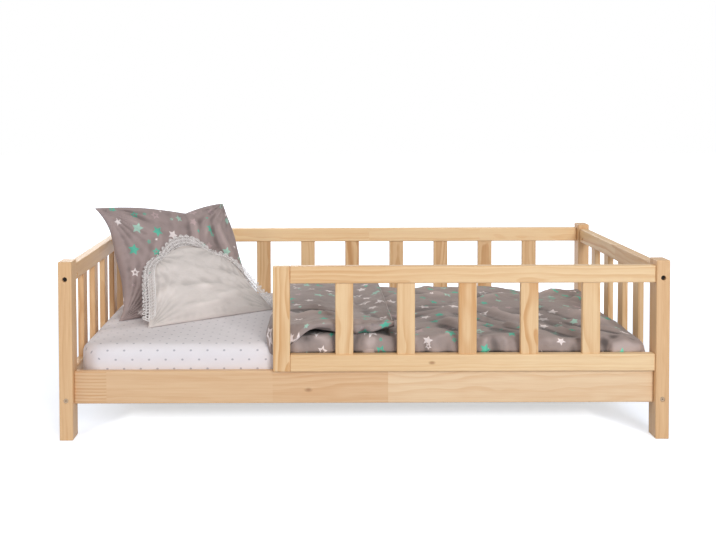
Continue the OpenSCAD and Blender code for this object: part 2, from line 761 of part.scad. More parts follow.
// The frill runs up one side of the lace pillow, over its top and down the other side.
// Its place runs from 0 to 3, one for each of these sides. Where the star pillow presses the
// edge out, the frill starts further off, clear of the pillow's overhang
SCALLOPS = 24;
SCALLOP_STEPS = 3;
FRILL_STEPS = SCALLOPS * SCALLOP_STEPS;
frill_root = 5;
frill_from = 0.06;
frill_to = 2.94;
frill_near = 0.04;
function frill_uv(s) = s < 1 ? [-1, 2 * s - 1] : s < 2 ? [2 * s - 3, 1] : [1, 5 - 2 * s];
function frill_edge(s) = let (uv = frill_uv(s)) lace_outline(uv[0], uv[1]);
function frill_out(s) =
  let (
    ahead = frill_edge(min(3, s + frill_near)),
    behind = frill_edge(max(0, s - frill_near)),
    along = (ahead - behind) / norm(ahead - behind))
  [-along[1], along[0]];
function frill_row(k, side) =
  let (
    s = frill_from + (frill_to - frill_from) * k / FRILL_STEPS,
    edge = frill_edge(s),
    out = frill_out(s),
    reach = frill_w - (k % SCALLOP_STEPS == 0 ? scallop : 0),
    seam = in_frame(lace_foot, lace_frame, [edge[0], edge[1], 0]),
    root = frill_root + tan(lace_lean_more) * norm(lie_on_star(seam) - seam))
  [for (r = [root, reach])
    lie_on_bed(lie_on_star(in_frame(lace_foot, lace_frame,
      [edge[0] + out[0] * r, edge[1] + out[1] * r, 0])), lie_gap + frill_t / 2)
    + side * frill_t / 2 * lace_frame[2]];
module lace_trim() {
  color(LACE) grid_solid(
    [for (k = [0:FRILL_STEPS]) frill_row(k, 1)],
    [for (k = [0:FRILL_STEPS]) frill_row(k, -1)]);
}

// The duvet is one thick sheet that lies on the bed from the foot end, turns up and over at
// its fold, and comes back over itself as a flap, whose edges stay level with its middle
duvet_right = mattress_l / 2 - duvet_inset;
duvet_front = -bed_flat_y - bed_round * sin(duvet_round);
duvet_back = bed_flat_y;
duvet_seam = 3;
duvet_soft = 24;
fold_gap = 3;
FLAP_RISE = 3;
// The main folds: [share of their height, length along the bed, length across it, start]
duvet_folds = [[0.6, 410, 900, -90], [0.4, 250, -620, -74]];
function duvet_wave(x, y) = duvet_fold * [for (f = duvet_folds) f[0]]
  * [for (f = duvet_folds) sin(360 * (x / f[1] + y / f[2]) + f[3])];
function duvet_share(y) = (y - duvet_front) / (duvet_back - duvet_front);
function duvet_left(y) = bare_l - mattress_l / 2 - duvet_inset + duvet_skew * duvet_share(y);
function duvet_puff(q) = let (k = min(1, q / duvet_soft)) sqrt(1 - (1 - k) * (1 - k));
function duvet_thick(x, row, end) = duvet_seam
  + (duvet_t + duvet_wave(x, row) - duvet_seam)
  * duvet_puff(min(row - duvet_front, duvet_back - row)) * duvet_puff(end);
function duvet_low(x, y) = bed_at(x, y) + lie_gap;
function ease(t) = let (k = min(1, max(0, t))) k * k * (3 - 2 * k);
function duvet_y(x, row) = row < 0 ? row : row
  * (1 - duvet_back_in / duvet_back * ease(2 * (x - duvet_right + duvet_back_l) / duvet_back_l));
// Stations along the duvet: [part, place in it]; the parts are the lower layer over the
// mattress's rounded end, the rest of that layer, the fold and the flap
LAYER_STEPS = 11;
FOLD_STEPS = 5;
FLAP_STEPS = 6;
ROW_STEPS = 9;
duvet_walk = concat(
  [for (k = [len(arc_steps) - 1:-1:1]) [0, arc_steps[k]]],
  [for (i = [0:LAYER_STEPS - 1]) [1, i / LAYER_STEPS]],
  [for (i = [0:FOLD_STEPS]) [2, i / FOLD_STEPS]],
  [for (i = [1:FLAP_STEPS]) [3, sin(90 * i / FLAP_STEPS)]]);
function duvet_point(step, row, outer) =
  let (
    part = step[0],
    t = step[1],
    x0 = duvet_left(row) + duvet_t,
    flap_l = duvet_flap - flap_skew * duvet_share(row),
    x = part == 0 ? min(duvet_right, bed_flat_x + bed_round * sin(t))
      : part == 1 ? bed_flat_x + (x0 - bed_flat_x) * t
      : part == 2 ? x0 : x0 + flap_l * t,
    y = duvet_y(x, row),
    turn_t = duvet_thick(x0, row, duvet_soft),
    end = part == 3 ? flap_l * (1 - t) : duvet_right - x,
    thick = duvet_thick(x, row, end),
    radius = fold_gap / 2 + (outer ? turn_t : 0),
    middle = duvet_low(x0, y) + turn_t + fold_gap / 2,
    layer_t = duvet_thick(x, row, duvet_soft),
    level_t = duvet_t + duvet_wave(x, row),
    flap_z = duvet_low(x, y) + layer_t + (level_t - layer_t) * min(1, FLAP_RISE * t)
      + fold_gap + (duvet_mouth - fold_gap) * t)
  part == 2 ? [x - radius * sin(180 * t), y, middle - radius * cos(180 * t)]
    : part == 3 ? [x, y, flap_z + (outer ? turn_t + (thick - turn_t) * min(1, 2 * t) : 0)]
    : [x, y, duvet_low(x, y) + (outer ? 0 : thick)];
duvet_rows = concat(
  [duvet_front], [for (q = [60, 30]) -bed_flat_y - bed_round * sin(q)],
  [for (i = [0:ROW_STEPS]) -bed_flat_y + (duvet_back - duvet_soft + bed_flat_y) * i / ROW_STEPS],
  [duvet_back - duvet_soft / 3, duvet_back]);
module duvet() {
  color(STAR_COTTON) grid_solid(
    [for (row = duvet_rows) [for (step = duvet_walk) duvet_point(step, row, false)]],
    [for (row = duvet_rows) [for (step = duvet_walk) duvet_point(step, row, true)]]);
}

post(-1, -1);  // post_front_left
post(1, -1);  // post_front_right
post(-1, 1);  // post_back_left
post(1, 1);  // post_back_right
front_board();
back_board();
end_board(-1);  // left_end_board
end_board(1);  // right_end_board
guard_top_rail();
guard_bottom_rail();
guard_stile();
for (i = [1:GUARD_SLATS])
  at_guard_slat(i - 1) color(PINE) slat(guard_low_top, rail_z);
back_top_rail();
for (i = [1:BACK_SLATS])
  at_back_slat(i - 1) color(PINE) slat(board_top, rail_z);
end_top_rail(-1);  // left_top_rail
end_top_rail(1);  // right_top_rail
for (i = [1:END_SLATS]) {
  at_end_slat(-1, i - 1) color(PINE) slat(board_top, rail_z);
  at_end_slat(1, i - 1) color(PINE) slat(board_top, rail_z);
}
cleat(-1);  // front_cleat
cleat(1);  // back_cleat
base_slats();
base_webbing();
end_bolts();
side_bolts();
barrel_nuts();
dowels();
cleat_screws();
base_screws();
mattress();
fitted_sheet();
star_pillow();
lace_pillow();
lace_trim();
duvet();
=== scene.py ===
"""Looks of the child's bed: materials for its timber, new soft pieces, studio and camera."""

import logging
import math
from dataclasses import dataclass, field
from enum import Enum
from typing import Callable, Sequence, Union

import bpy
import numpy as np
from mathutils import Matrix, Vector

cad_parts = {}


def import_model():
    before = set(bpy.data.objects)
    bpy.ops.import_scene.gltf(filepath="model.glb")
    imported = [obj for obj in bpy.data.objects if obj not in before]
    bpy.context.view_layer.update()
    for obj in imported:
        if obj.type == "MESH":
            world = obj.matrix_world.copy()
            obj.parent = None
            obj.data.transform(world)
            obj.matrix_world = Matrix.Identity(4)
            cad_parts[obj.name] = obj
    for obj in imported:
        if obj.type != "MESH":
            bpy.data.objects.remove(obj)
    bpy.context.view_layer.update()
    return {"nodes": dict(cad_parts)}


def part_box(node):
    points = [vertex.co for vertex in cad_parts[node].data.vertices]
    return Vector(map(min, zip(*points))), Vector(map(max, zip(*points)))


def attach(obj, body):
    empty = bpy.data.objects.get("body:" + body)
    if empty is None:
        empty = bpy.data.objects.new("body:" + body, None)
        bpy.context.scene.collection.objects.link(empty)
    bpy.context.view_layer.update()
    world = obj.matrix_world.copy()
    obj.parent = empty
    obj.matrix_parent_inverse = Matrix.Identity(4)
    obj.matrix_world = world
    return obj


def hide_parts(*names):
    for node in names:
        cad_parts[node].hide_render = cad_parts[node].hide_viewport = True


LOG = logging.getLogger("bed")
MM = 0.001
Array = np.ndarray
Number = Union[int, float]


class Axis(Enum):
    """Direction of the grain of a piece of timber."""

    ALONG = 0
    ACROSS = 1
    UP = 2


class Body(Enum):
    """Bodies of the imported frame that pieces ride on."""

    ROOT = "root"
    MATTRESS = "mattress"
    STAR = "star_pillow"
    LACE = "lace_pillow"
    DUVET = "duvet"


class Held(Enum):
    """Ways in which a piece of cloth is held."""

    STRETCHED = "stretched"
    GATHERED = "gathered"


def tint(red: int, green: int, blue: int) -> tuple[float, float, float, float]:
    """Turns a display colour of 0 to 255 into a linear one with full alpha."""
    return tuple((c / 255) ** 2.2 for c in (red, green, blue)) + (1.0,)


# Node expressions: shader nodes written as arithmetic


def operator(operation: str, flipped: bool = False) -> Callable[["Value", "Operand"], "Value"]:
    """Makes one of the operators of Value.

    Args:
        operation: Operation of the node that it adds.
        flipped: Whether the value stands on the right.

    Returns:
        The operator.
    """

    def combined(value: "Value", other: "Operand") -> "Value":
        """Adds the node."""
        sides = (other, value) if flipped else (value, other)
        return value.graph.combine_two(operation, *sides)

    return combined


class Value:
    """One output of a shader node, with arithmetic that adds further nodes."""

    __add__, __radd__ = operator("ADD"), operator("ADD", True)
    __sub__, __rsub__ = operator("SUBTRACT"), operator("SUBTRACT", True)
    __mul__, __rmul__ = operator("MULTIPLY"), operator("MULTIPLY", True)
    __truediv__, __rtruediv__ = operator("DIVIDE"), operator("DIVIDE", True)

    def __init__(self, graph: "Graph", socket: bpy.types.NodeSocket) -> None:
        """Keeps the graph and the output socket."""
        self.graph = graph
        self.socket = socket

    @property
    def is_vector(self) -> bool:
        """Tells whether the output holds three numbers."""
        return self.socket.type in {"VECTOR", "RGBA"}

    def __neg__(self) -> "Value":
        """Changes the sign."""
        return self * -1.0


Operand = Union[Value, Number, Sequence[float]]


class Graph:
    """Node tree of one material, built from expressions."""

    def __init__(self, tree: bpy.types.NodeTree, output: str = "ShaderNodeOutputMaterial") -> None:
        """Empties a node tree and gives it an output node.

        Args:
            tree: The node tree of a material or of the world.
            output: Type of its output node.
        """
        self.tree = tree
        self.tree.nodes.clear()
        self.output = self.tree.nodes.new(output)

    def put(self, socket: bpy.types.NodeSocket, value: Operand) -> None:
        """Links a value to an input, or sets the input to a constant.

        Args:
            socket: Input socket.
            value: Output of another node, or a constant.
        """
        if isinstance(value, Value):
            self.tree.links.new(value.socket, socket)
        elif socket.type in {"VECTOR", "RGBA"} and isinstance(value, (int, float)):
            socket.default_value = (value,) * len(socket.default_value)
        elif socket.type == "RGBA" and len(value) == 3:
            socket.default_value = (*value, 1.0)
        else:
            socket.default_value = value

    def node(
        self,
        kind: str,
        settings: dict[str, object],
        inputs: dict[object, Operand],
        output: object = 0,
    ) -> Value:
        """Adds any node.

        Args:
            kind: Type of the node.
            settings: Attributes to set on it.
            inputs: Values by the name or index of the input.
            output: Name or index of the output to give back.

        Returns:
            The chosen output.
        """
        made = self.tree.nodes.new(kind)
        for key, setting in settings.items():
            setattr(made, key, setting)
        for key, value in inputs.items():
            self.put(made.inputs[key], value)
        return Value(self, made.outputs[output])

    def combine_two(self, operation: str, a: Operand, b: Operand) -> Value:
        """Adds a Math node, or a Vector Math node if either side is a vector.

        Args:
            operation: Its operation.
            a: First side.
            b: Second side.

        Returns:
            The result.
        """
        for side in (a, b):
            if isinstance(side, (tuple, list)) or isinstance(side, Value) and side.is_vector:
                return self.vector(operation, a, b)
        return self.math(operation, a, b)

    def math(self, operation: str, *values: Operand) -> Value:
        """Adds a Math node.

        Args:
            operation: Its operation.
            values: Its inputs in order.

        Returns:
            The result.
        """
        return self.node("ShaderNodeMath", {"operation": operation}, dict(enumerate(values)))

    def vector(self, operation: str, *values: Operand, output: str = "Vector") -> Value:
        """Adds a Vector Math node.

        Args:
            operation: Its operation.
            values: Its inputs in order.
            output: Vector or Value.

        Returns:
            The result.
        """
        settings = {"operation": operation}
        return self.node("ShaderNodeVectorMath", settings, dict(enumerate(values)), output)

    def mix(self, factor: Operand, a: Operand, b: Operand) -> Value:
        """Blends two colours.

        Args:
            factor: Share of the second one.
            a: First colour.
            b: Second colour.

        Returns:
            The blend.
        """
        settings = {"data_type": "RGBA", "clamp_factor": True}
        return self.node("ShaderNodeMix", settings, {0: factor, 6: a, 7: b}, 2)

    def smooth(self, value: Operand, low: float, high: float) -> Value:
        """Rises softly from 0 at low to 1 at high."""
        limits = {"Value": value, "From Min": low, "From Max": high}
        return self.node("ShaderNodeMapRange", {"interpolation_type": "SMOOTHSTEP"}, limits)

    def split(self, value: Value) -> list[Value]:
        """Gives the three parts of a vector."""
        node = self.node("ShaderNodeSeparateXYZ", {}, {0: value}).socket.node
        return [Value(self, node.outputs[i]) for i in range(3)]

    def join(self, x: Operand, y: Operand, z: Operand = 0.0) -> Value:
        """Makes a vector from three numbers."""
        return self.node("ShaderNodeCombineXYZ", {}, {0: x, 1: y, 2: z})

    def noise(self, place: Value, scale: float = 1.0, detail: float = 2.0) -> Value:
        """Adds soft noise between 0 and 1 at a place."""
        inputs = {"Vector": place, "Scale": scale, "Detail": detail}
        return self.node("ShaderNodeTexNoise", {}, inputs)

    def chance(self, place: Value) -> list[Value]:
        """Gives three random numbers for each whole-numbered place."""
        made = {"noise_dimensions": "3D"}
        return self.split(self.node("ShaderNodeTexWhiteNoise", made, {"Vector": place}, "Color"))

    def position(self) -> Value:
        """Gives the place on the object, in metres."""
        return self.node("ShaderNodeTexCoord", {}, {}, "Object")

    def weave(self) -> Value:
        """Gives the place on the flat cloth, in metres."""
        return self.node("ShaderNodeUVMap", {"uv_map": Cloth.MAP}, {})

    def bump(self, height: Value, depth: float, strength: float = 1.0) -> Value:
        """Turns a height between 0 and 1 into a normal.

        Args:
            height: The height.
            depth: Its full depth in metres.
            strength: Share of the effect.

        Returns:
            The normal.
        """
        inputs = {"Height": height, "Distance": depth, "Strength": strength}
        return self.node("ShaderNodeBump", {}, inputs)

    def surface(self, **inputs: Operand) -> None:
        """Ends the material with a Principled shader.

        Args:
            inputs: Its inputs, spaces written as underscores.
        """
        named = {key.replace("_", " "): value for key, value in inputs.items()}
        shader = self.node("ShaderNodeBsdfPrincipled", {}, named)
        self.tree.links.new(shader.socket, self.output.inputs["Surface"])


# Finishes, with lengths in metres


@dataclass(frozen=True)
class Finish:
    """A finish that can be turned into a material."""

    name: str

    def shade(self, g: Graph) -> None:
        """Adds the nodes to an empty graph; each finish has its own."""
        raise NotImplementedError

    def material(self) -> bpy.types.Material:
        """Gives the material, made on first use.

        Returns:
            The material; its name keeps clear of the CAD's own materials.
        """
        name = "finish_" + self.name
        found = bpy.data.materials.get(name)
        if found:
            return found
        made = bpy.data.materials.new(name)
        made.use_nodes = True
        self.shade(Graph(made.node_tree))
        return made


@dataclass(frozen=True)
class Tone:
    """Colours of one kind of board."""

    pale: tuple[float, ...]
    late: tuple[float, ...]


HONEY = Tone(tint(236, 200, 152), tint(210, 157, 102))
BOARD = Tone(tint(234, 202, 162), tint(210, 160, 112))
# Painted light: a lighter copy of HONEY, standing in for light that reaches the back top rail less.
PAINTED_LIGHT_HONEY = Tone(tint(245, 207, 158), tint(224, 170, 114))
AMBER = Tone(tint(226, 184, 136), tint(196, 141, 90))
BASE = Tone(tint(226, 200, 160), tint(200, 160, 112))


@dataclass(frozen=True)
class Knot:
    """A knot on the front of a board: place along it, height and radius in metres."""

    along: float
    height: float
    radius: float


@dataclass(frozen=True)
class Grain:
    """Noise drawn out along the grain: its scale along and across it, and its detail."""

    along: float
    across: float
    detail: float

    def at(
        self, g: Graph, place: Sequence[Value], shift: Operand = 0.0, lift: Operand = 0.0
    ) -> Value:
        """Adds the noise.

        Args:
            g: Graph to add to.
            place: Place along the grain and across it, two ways.
            shift: Offset along the grain, which gives each block its own noise.
            lift: Offset across it.

        Returns:
            The noise between 0 and 1.
        """
        along, a, b = place
        spot = g.join(along * self.along + shift, a * self.across, b * self.across + lift)
        return g.noise(spot, detail=self.detail)


@dataclass(frozen=True)
class Pine(Finish):
    """Planed and lacquered pine with its year rings running through the solid.

    The pith, about which the rings run, lies outside the piece and wanders along it."""

    PITH_DEPTH = 0.030
    PITH_SPREAD = (0.07, 0.06)
    WANDER = (0.075, 0.022)
    UNEVEN = 1.6
    KNOT_BEND = 0.012
    KNOT_STRETCH = 0.55
    KNOT_COLOUR = tint(150, 98, 56)
    STRIPES = 680.0
    SLOW = Grain(1.6, 7.0, 1.5)
    SWAY = Grain(5.0, 16.0, 2.0)
    FIBRE = Grain(14.0, 420.0, 3.0)
    CLOUD = Grain(3.0, 20.0, 2.0)
    STREAK = Grain(1.1, 95.0, 2.0)
    WEIGHTS = (0.62, 0.6, 0.6)
    LATE_FROM = 0.16
    LATE_RISE = (0.25, 0.92)
    COAT = (0.12, 0.3)
    RELIEF = (0.0006, 0.35)

    axis: Axis
    centre: tuple[float, float, float]
    seed: float
    tone: Tone = HONEY
    joints: tuple[float, ...] = ()
    shades: tuple[float, ...] = (0.0,)
    knots: tuple[Knot, ...] = ()
    ring: float = 0.0105
    grain: float = 1.0
    striped: bool = False
    drift: tuple[float, ...] = ()
    roughness: float = 0.48

    def blocks(self, g: Graph, along: Value) -> tuple[Operand, Operand]:
        """Numbers the glued blocks and shades each of them.

        Args:
            g: Graph to add to.
            along: Place along the grain.

        Returns:
            The block's number and its shade.
        """
        block: Operand = self.seed
        shade: Operand = 1.0 + self.shades[0]
        for joint, before, after in zip(self.joints, self.shades, self.shades[1:]):
            past = g.math("GREATER_THAN", along, joint)
            block = block + past
            shade = shade + past * (after - before)
        if self.drift:
            start, end, change = self.drift
            shade = shade + g.smooth(along, start, end) * change
        return block, shade

    def knotted(
        self, g: Graph, along: Value, height: Value, radius: Value
    ) -> tuple[Value, Operand]:
        """Bends the rings round the knots.

        Args:
            g: Graph to add to.
            along: Place along the grain.
            height: Height of the place.
            radius: Its distance from the pith.

        Returns:
            The bent distance, and how far the place belongs to a knot.
        """
        dark: Operand = 0.0
        for knot in self.knots:
            run = (along - knot.along) * self.KNOT_STRETCH
            rise = height - knot.height
            reach = g.math("SQRT", run * run + rise * rise)
            radius = radius + self.KNOT_BEND / (1.0 + reach * reach * (2.0 / knot.radius) ** 2)
            eye = 1.0 - g.smooth(reach, knot.radius * 0.2, knot.radius * 1.4)
            dark = g.math("MAXIMUM", dark, eye)
        return radius, dark

    def fibres(self, g: Graph, place: Sequence[Value], height: Value) -> Value:
        """Adds fine fibres, and the cut stripes of the first block where it has them.

        Args:
            g: Graph to add to.
            place: Place along the grain and across it, two ways.
            height: Height of the place.

        Returns:
            The fibres' strength.
        """
        fibre, along = self.FIBRE.at(g, place), place[0]
        if self.striped:
            bent = g.math("SINE", along * 40.0) * 0.5
            line = g.math("SINE", height * self.STRIPES + bent) * 0.5 + 0.5
            first = g.math("LESS_THAN", along, self.joints[0])
            fibre = fibre + first * (line * line - 0.4)
        return fibre

    def shade(self, g: Graph) -> None:
        """Adds rings, fibres, glued blocks and knots.

        Args:
            g: Graph to add to.
        """
        parts = g.split(g.position())
        others = [i for i in range(3) if i != self.axis.value]
        if self.axis is not Axis.UP:
            others.reverse()
        along = parts[self.axis.value]
        a, b = (parts[i] - self.centre[i] for i in others)
        block, shade = self.blocks(g, along)
        draw = g.chance(g.join(block, self.seed + 3.0, 1.0))
        place = (along, a, b)
        slow = (self.SLOW.at(g, place, block * 7.0) - 0.5) * self.WANDER[0]
        sway = (self.SWAY.at(g, place, block * 3.0, 4.0) - 0.5) * self.WANDER[1]
        off_a = a + (draw[0] - 0.5) * self.PITH_SPREAD[0] + slow
        off_b = b + self.PITH_DEPTH + draw[1] * self.PITH_SPREAD[1] + sway
        radius = g.math("SQRT", off_a * off_a + off_b * off_b)
        radius, dark = self.knotted(g, along, parts[2], radius)
        uneven = g.noise(g.join(radius * 70.0, block * 3.0, along * 0.6), detail=1.0)
        turn = g.math("FRACT", radius / self.ring + uneven * self.UNEVEN)
        late = g.smooth(turn, *self.LATE_RISE) * (1.0 - g.smooth(turn, self.LATE_RISE[1], 1.0))
        fibre = self.fibres(g, place, parts[2])
        cloud, streak = (kind.at(g, place, self.seed) for kind in (self.CLOUD, self.STREAK))
        strong = (0.12 + draw[2] * draw[2] * 0.18) * (0.2 + cloud * 1.6) * self.grain
        share = late * strong
        for noise, weight in zip((fibre, cloud, streak), self.WEIGHTS):
            share = share + (noise - 0.5) * weight
        colour = g.mix(share + self.LATE_FROM, self.tone.pale, self.tone.late)
        shift = shade + (draw[2] - 0.5) * -0.03 + (cloud - 0.5) * 0.08
        colour = colour * g.join(shift, shift * shift, shift * shift * shift)
        g.surface(
            Base_Color=g.mix(dark * 0.7, colour, self.KNOT_COLOUR),
            Roughness=self.roughness + late * 0.08,
            Coat_Weight=self.COAT[0],
            Coat_Roughness=self.COAT[1],
            Normal=g.bump(fibre * 0.6 + late * 0.4, *self.RELIEF),
        )


@dataclass(frozen=True)
class Zinc(Finish):
    """Zinc-plated steel, faintly brushed."""

    bright_from: tuple[float, float] = (-1.0, -0.9)
    # Painted shade: the colour of a head sunk in its hole.
    painted_hole_shade: tuple[float, ...] = tint(40, 32, 26)
    dull: tuple[float, ...] = tint(176, 150, 122)
    clear: tuple[float, ...] = tint(192, 164, 134)
    clouding: float = 180.0

    def shade(self, g: Graph) -> None:
        """Adds metal with cloudy plating; a head sunk in its hole gets painted shade, a dark brown
        colour, and less shine.

        Args:
            g: Graph to add to.
        """
        cloud = g.noise(g.position(), scale=self.clouding, detail=3.0)
        _, across, _ = g.split(g.position())
        # Heads sunk in their holes take the painted shade; the rest keep the plating.
        bright = g.smooth(g.math("ABSOLUTE", across), *self.bright_from)
        plated = g.mix(cloud, self.dull, self.clear)
        g.surface(
            Base_Color=g.mix(bright, self.painted_hole_shade, plated),
            Metallic=0.15 + bright * 0.2,
            Roughness=0.62 - bright * 0.3 + cloud * 0.12,
            Normal=g.bump(cloud, 0.0003, 0.3),
        )


@dataclass(frozen=True)
class Foam(Finish):
    """Foam of the mattress core."""

    cells: float = 420.0

    def shade(self, g: Graph) -> None:
        """Adds an open, pitted surface.

        Args:
            g: Graph to add to.
        """
        cell = g.node("ShaderNodeTexVoronoi", {}, {"Vector": g.position(), "Scale": self.cells})
        g.surface(
            Base_Color=g.mix(cell, tint(236, 232, 218), tint(250, 248, 240)),
            Roughness=0.95,
            Normal=g.bump(cell, 0.0008, 0.5),
        )


@dataclass(frozen=True)
class Webbing(Finish):
    """Woven band that spaces the base slats."""

    ribs: float = 2600.0
    yarns: float = 4200.0

    def shade(self, g: Graph) -> None:
        """Adds ribs across the band.

        Args:
            g: Graph to add to.
        """
        x, y, _ = g.split(g.position())
        rib, yarn = (
            g.math("SINE", place * turn) * 0.5 + 0.5
            for place, turn in ((x, self.ribs), (y, self.yarns))
        )
        g.surface(
            Base_Color=g.mix(rib, tint(224, 220, 208), tint(240, 238, 230)),
            Roughness=0.85,
            Normal=g.bump(rib * 0.7 + yarn * 0.3, 0.0004, 0.6),
        )


@dataclass(frozen=True)
class Cloth(Finish):
    """Woven cotton; its subclasses add what is printed on it."""

    MAP = "weave"
    # The fold depth attribute, and the ranges and shares of the painted shade and painted highlight
    # in the folds.
    HOLLOW = "hollow"
    SHADOWS = ((-0.05, 0.78, 0.74), (1.1, 1.6, 0.26))
    LIGHT = (0.2, 1.4)
    LIGHT_SHARE = 0.5
    PALER = 1.06
    DARKER = 0.88
    MOTTLING = 24.0
    CREASING = 13.0
    CREASE_DEPTH = 0.009
    ground: tuple[float, ...] = tint(222, 216, 214)
    thread: float = 0.0007
    sheen: float = 0.1
    relief: float = 0.5
    # Strength of the painted shade and highlight in the folds; 0 leaves them out.
    painted_fold_shade: float = 0.0

    def printed(self, g: Graph, place: Value, ground: Value) -> Value:
        """Gives the colour of the cloth with its print."""
        return ground

    def paint_fold_light(self, g: Graph, colour: Value) -> Value:
        """Paints shade into the cloth's colour in its folds' hollows and a painted highlight on
        their tops.

        Args:
            g: Graph to add to.
            colour: Colour of the cloth.

        Returns:
            The colour with the painted shade and highlight.
        """
        hollow = g.node("ShaderNodeAttribute", {"attribute_name": self.HOLLOW}, {}, "Fac")
        change = g.smooth(-hollow, *self.LIGHT) * self.LIGHT_SHARE
        for low, high, share in self.SHADOWS:
            change = change - g.smooth(hollow, low, high) * share
        return colour * (1.0 + change * self.painted_fold_shade)

    def shade(self, g: Graph) -> None:
        """Adds a plain weave, soft mottling, fine creases, the print and, where set, painted fold
        shade and highlight.

        Args:
            g: Graph to add to.
        """
        place = g.weave()
        x, y, _ = g.split(place)
        turn = 2 * math.pi / self.thread
        weave = g.math("SINE", x * turn) * g.math("SINE", y * turn) * 0.5 + 0.5
        mottle = g.noise(place, scale=self.MOTTLING, detail=4.0)
        wave = g.noise(g.join(x, y * 1.6, mottle * 0.05), scale=self.CREASING, detail=3.0)
        crease = 1.0 - g.math("ABSOLUTE", wave * 2.0 - 1.0) * 1.4
        ground = g.mix(
            mottle * 0.5 + weave * 0.12,
            tuple(c * self.PALER for c in self.ground[:3]),
            tuple(c * self.DARKER for c in self.ground[:3]),
        )
        colour = self.printed(g, place, ground)
        g.surface(
            Base_Color=self.paint_fold_light(g, colour) if self.painted_fold_shade else colour,
            Roughness=0.82 + (mottle - 0.5) * 0.1,
            Sheen_Weight=self.sheen,
            Sheen_Roughness=0.5,
            Normal=g.bump(crease * 0.96 + weave * 0.04, self.CREASE_DEPTH, self.relief),
        )


@dataclass(frozen=True)
class DottedCotton(Cloth):
    """White cotton with small staggered dots."""

    pitch: float = 0.047
    row: float = 0.0255
    dot: float = 0.0030
    dot_colour: tuple[float, ...] = tint(158, 153, 162)

    def printed(self, g: Graph, place: Value, ground: Value) -> Value:
        """Adds the dots, row by row, every second row moved by half a pitch.

        Args:
            g: Graph to add to.
            place: Place on the cloth.
            ground: Colour of the cloth.

        Returns:
            The colour with the dots.
        """
        x, y, _ = g.split(place)
        level = y / self.row
        line = g.math("FLOOR", level)
        step = x / self.pitch + g.math("MODULO", line, 2.0) * 0.5
        off_x = (g.math("FRACT", step) - 0.5) * self.pitch
        off_y = (level - line - 0.5) * self.row
        reach = g.math("SQRT", off_x * off_x * 0.8 + off_y * off_y * 1.2)
        mask = 1.0 - g.smooth(reach, self.dot * 0.75, self.dot * 1.25)
        return g.mix(mask * 0.7, ground, self.dot_colour)


TEAL = tint(96, 190, 164)


@dataclass(frozen=True)
class StarLayer:
    """One scatter of stars: cell size, radii in metres, share of cells used and turn."""

    cell: float
    small: float
    large: float
    share: float
    turn: float
    seed: float


@dataclass(frozen=True)
class StarCotton(Cloth):
    """Grey cotton printed with scattered filled and outlined stars."""

    TURN = 6.283
    layers: tuple[StarLayer, ...] = (
        StarLayer(0.071, 0.0145, 0.0215, 0.92, 0.35, 5.0),
        StarLayer(0.064, 0.0055, 0.0095, 0.45, 1.05, 17.0),
    )
    waist: float = 0.5
    room: float = 0.9
    rim: tuple[float, float] = (-0.06, 0.04)
    core: tuple[float, float] = (-0.30, -0.22)
    filled: float = 0.62
    hues: tuple[tuple[float, tuple[float, ...]], ...] = (
        (0.36, tint(172, 208, 192)),
        (0.56, tint(248, 236, 234)),
        (0.88, tint(192, 168, 168)),
    )

    def stars(self, g: Graph, place: Value, layer: StarLayer) -> tuple[Value, Value]:
        """Draws one scatter.

        Args:
            g: Graph to add to.
            place: Place on the cloth.
            layer: The scatter's sizes.

        Returns:
            The mask of its stars, and their colour.
        """
        x, y, _ = g.split(place)
        cos, sin = math.cos(layer.turn) / layer.cell, math.sin(layer.turn) / layer.cell
        spot = g.join(x * cos - y * sin, x * sin + y * cos, 0.0)
        cell = g.vector("FLOOR", spot)
        first = g.chance(cell + (layer.seed, 0.0, 0.5))
        second = g.chance(cell + (0.0, layer.seed, 1.5))
        size = first[2] * (layer.large - layer.small) + layer.small
        room = self.room * (0.5 - size / layer.cell)
        off = g.split(spot - cell - 0.5)
        off_x = off[0] - (first[0] - 0.5) * 2.0 * room
        off_y = off[1] - (first[1] - 0.5) * 2.0 * room
        angle = g.math("ARCTAN2", off_y, off_x) + second[0] * self.TURN + 2 * self.TURN
        reach = g.math("SQRT", off_x * off_x + off_y * off_y) * layer.cell / size
        fifth = 2 * math.pi / 5
        fold = fifth / 2 - g.math("ABSOLUTE", g.math("MODULO", angle, fifth) - fifth / 2)
        edge = (self.waist * math.cos(fifth / 2) - 1, self.waist * math.sin(fifth / 2))
        long = math.hypot(*edge)
        side = (reach * g.math("COSINE", fold) - 1.0) * (edge[1] / long)
        side = side - reach * g.math("SINE", fold) * (edge[0] / long)
        inside = 1.0 - g.smooth(side, *self.rim)
        core = 1.0 - g.smooth(side, *self.core)
        hollow = g.math("GREATER_THAN", second[1], self.filled)
        used = g.math("LESS_THAN", second[2], layer.share)
        hue = g.math("FRACT", second[2] * 9.7 + first[0])
        colour: Operand = TEAL
        for above, tone in self.hues:
            colour = g.mix(g.math("GREATER_THAN", hue, above), colour, tone)
        return inside * (1.0 - core * hollow) * used, colour

    def printed(self, g: Graph, place: Value, ground: Value) -> Value:
        """Lays the scatters over the ground, a larger star hiding the smaller ones.

        Args:
            g: Graph to add to.
            place: Place on the cloth.
            ground: Colour of the cloth.

        Returns:
            The colour with the stars.
        """
        big, small = self.layers
        mask_small, colour_small = self.stars(g, place, small)
        mask_big, colour_big = self.stars(g, place, big)
        colour = g.mix(mask_small, ground, colour_small)
        return g.mix(mask_big, colour, colour_big)


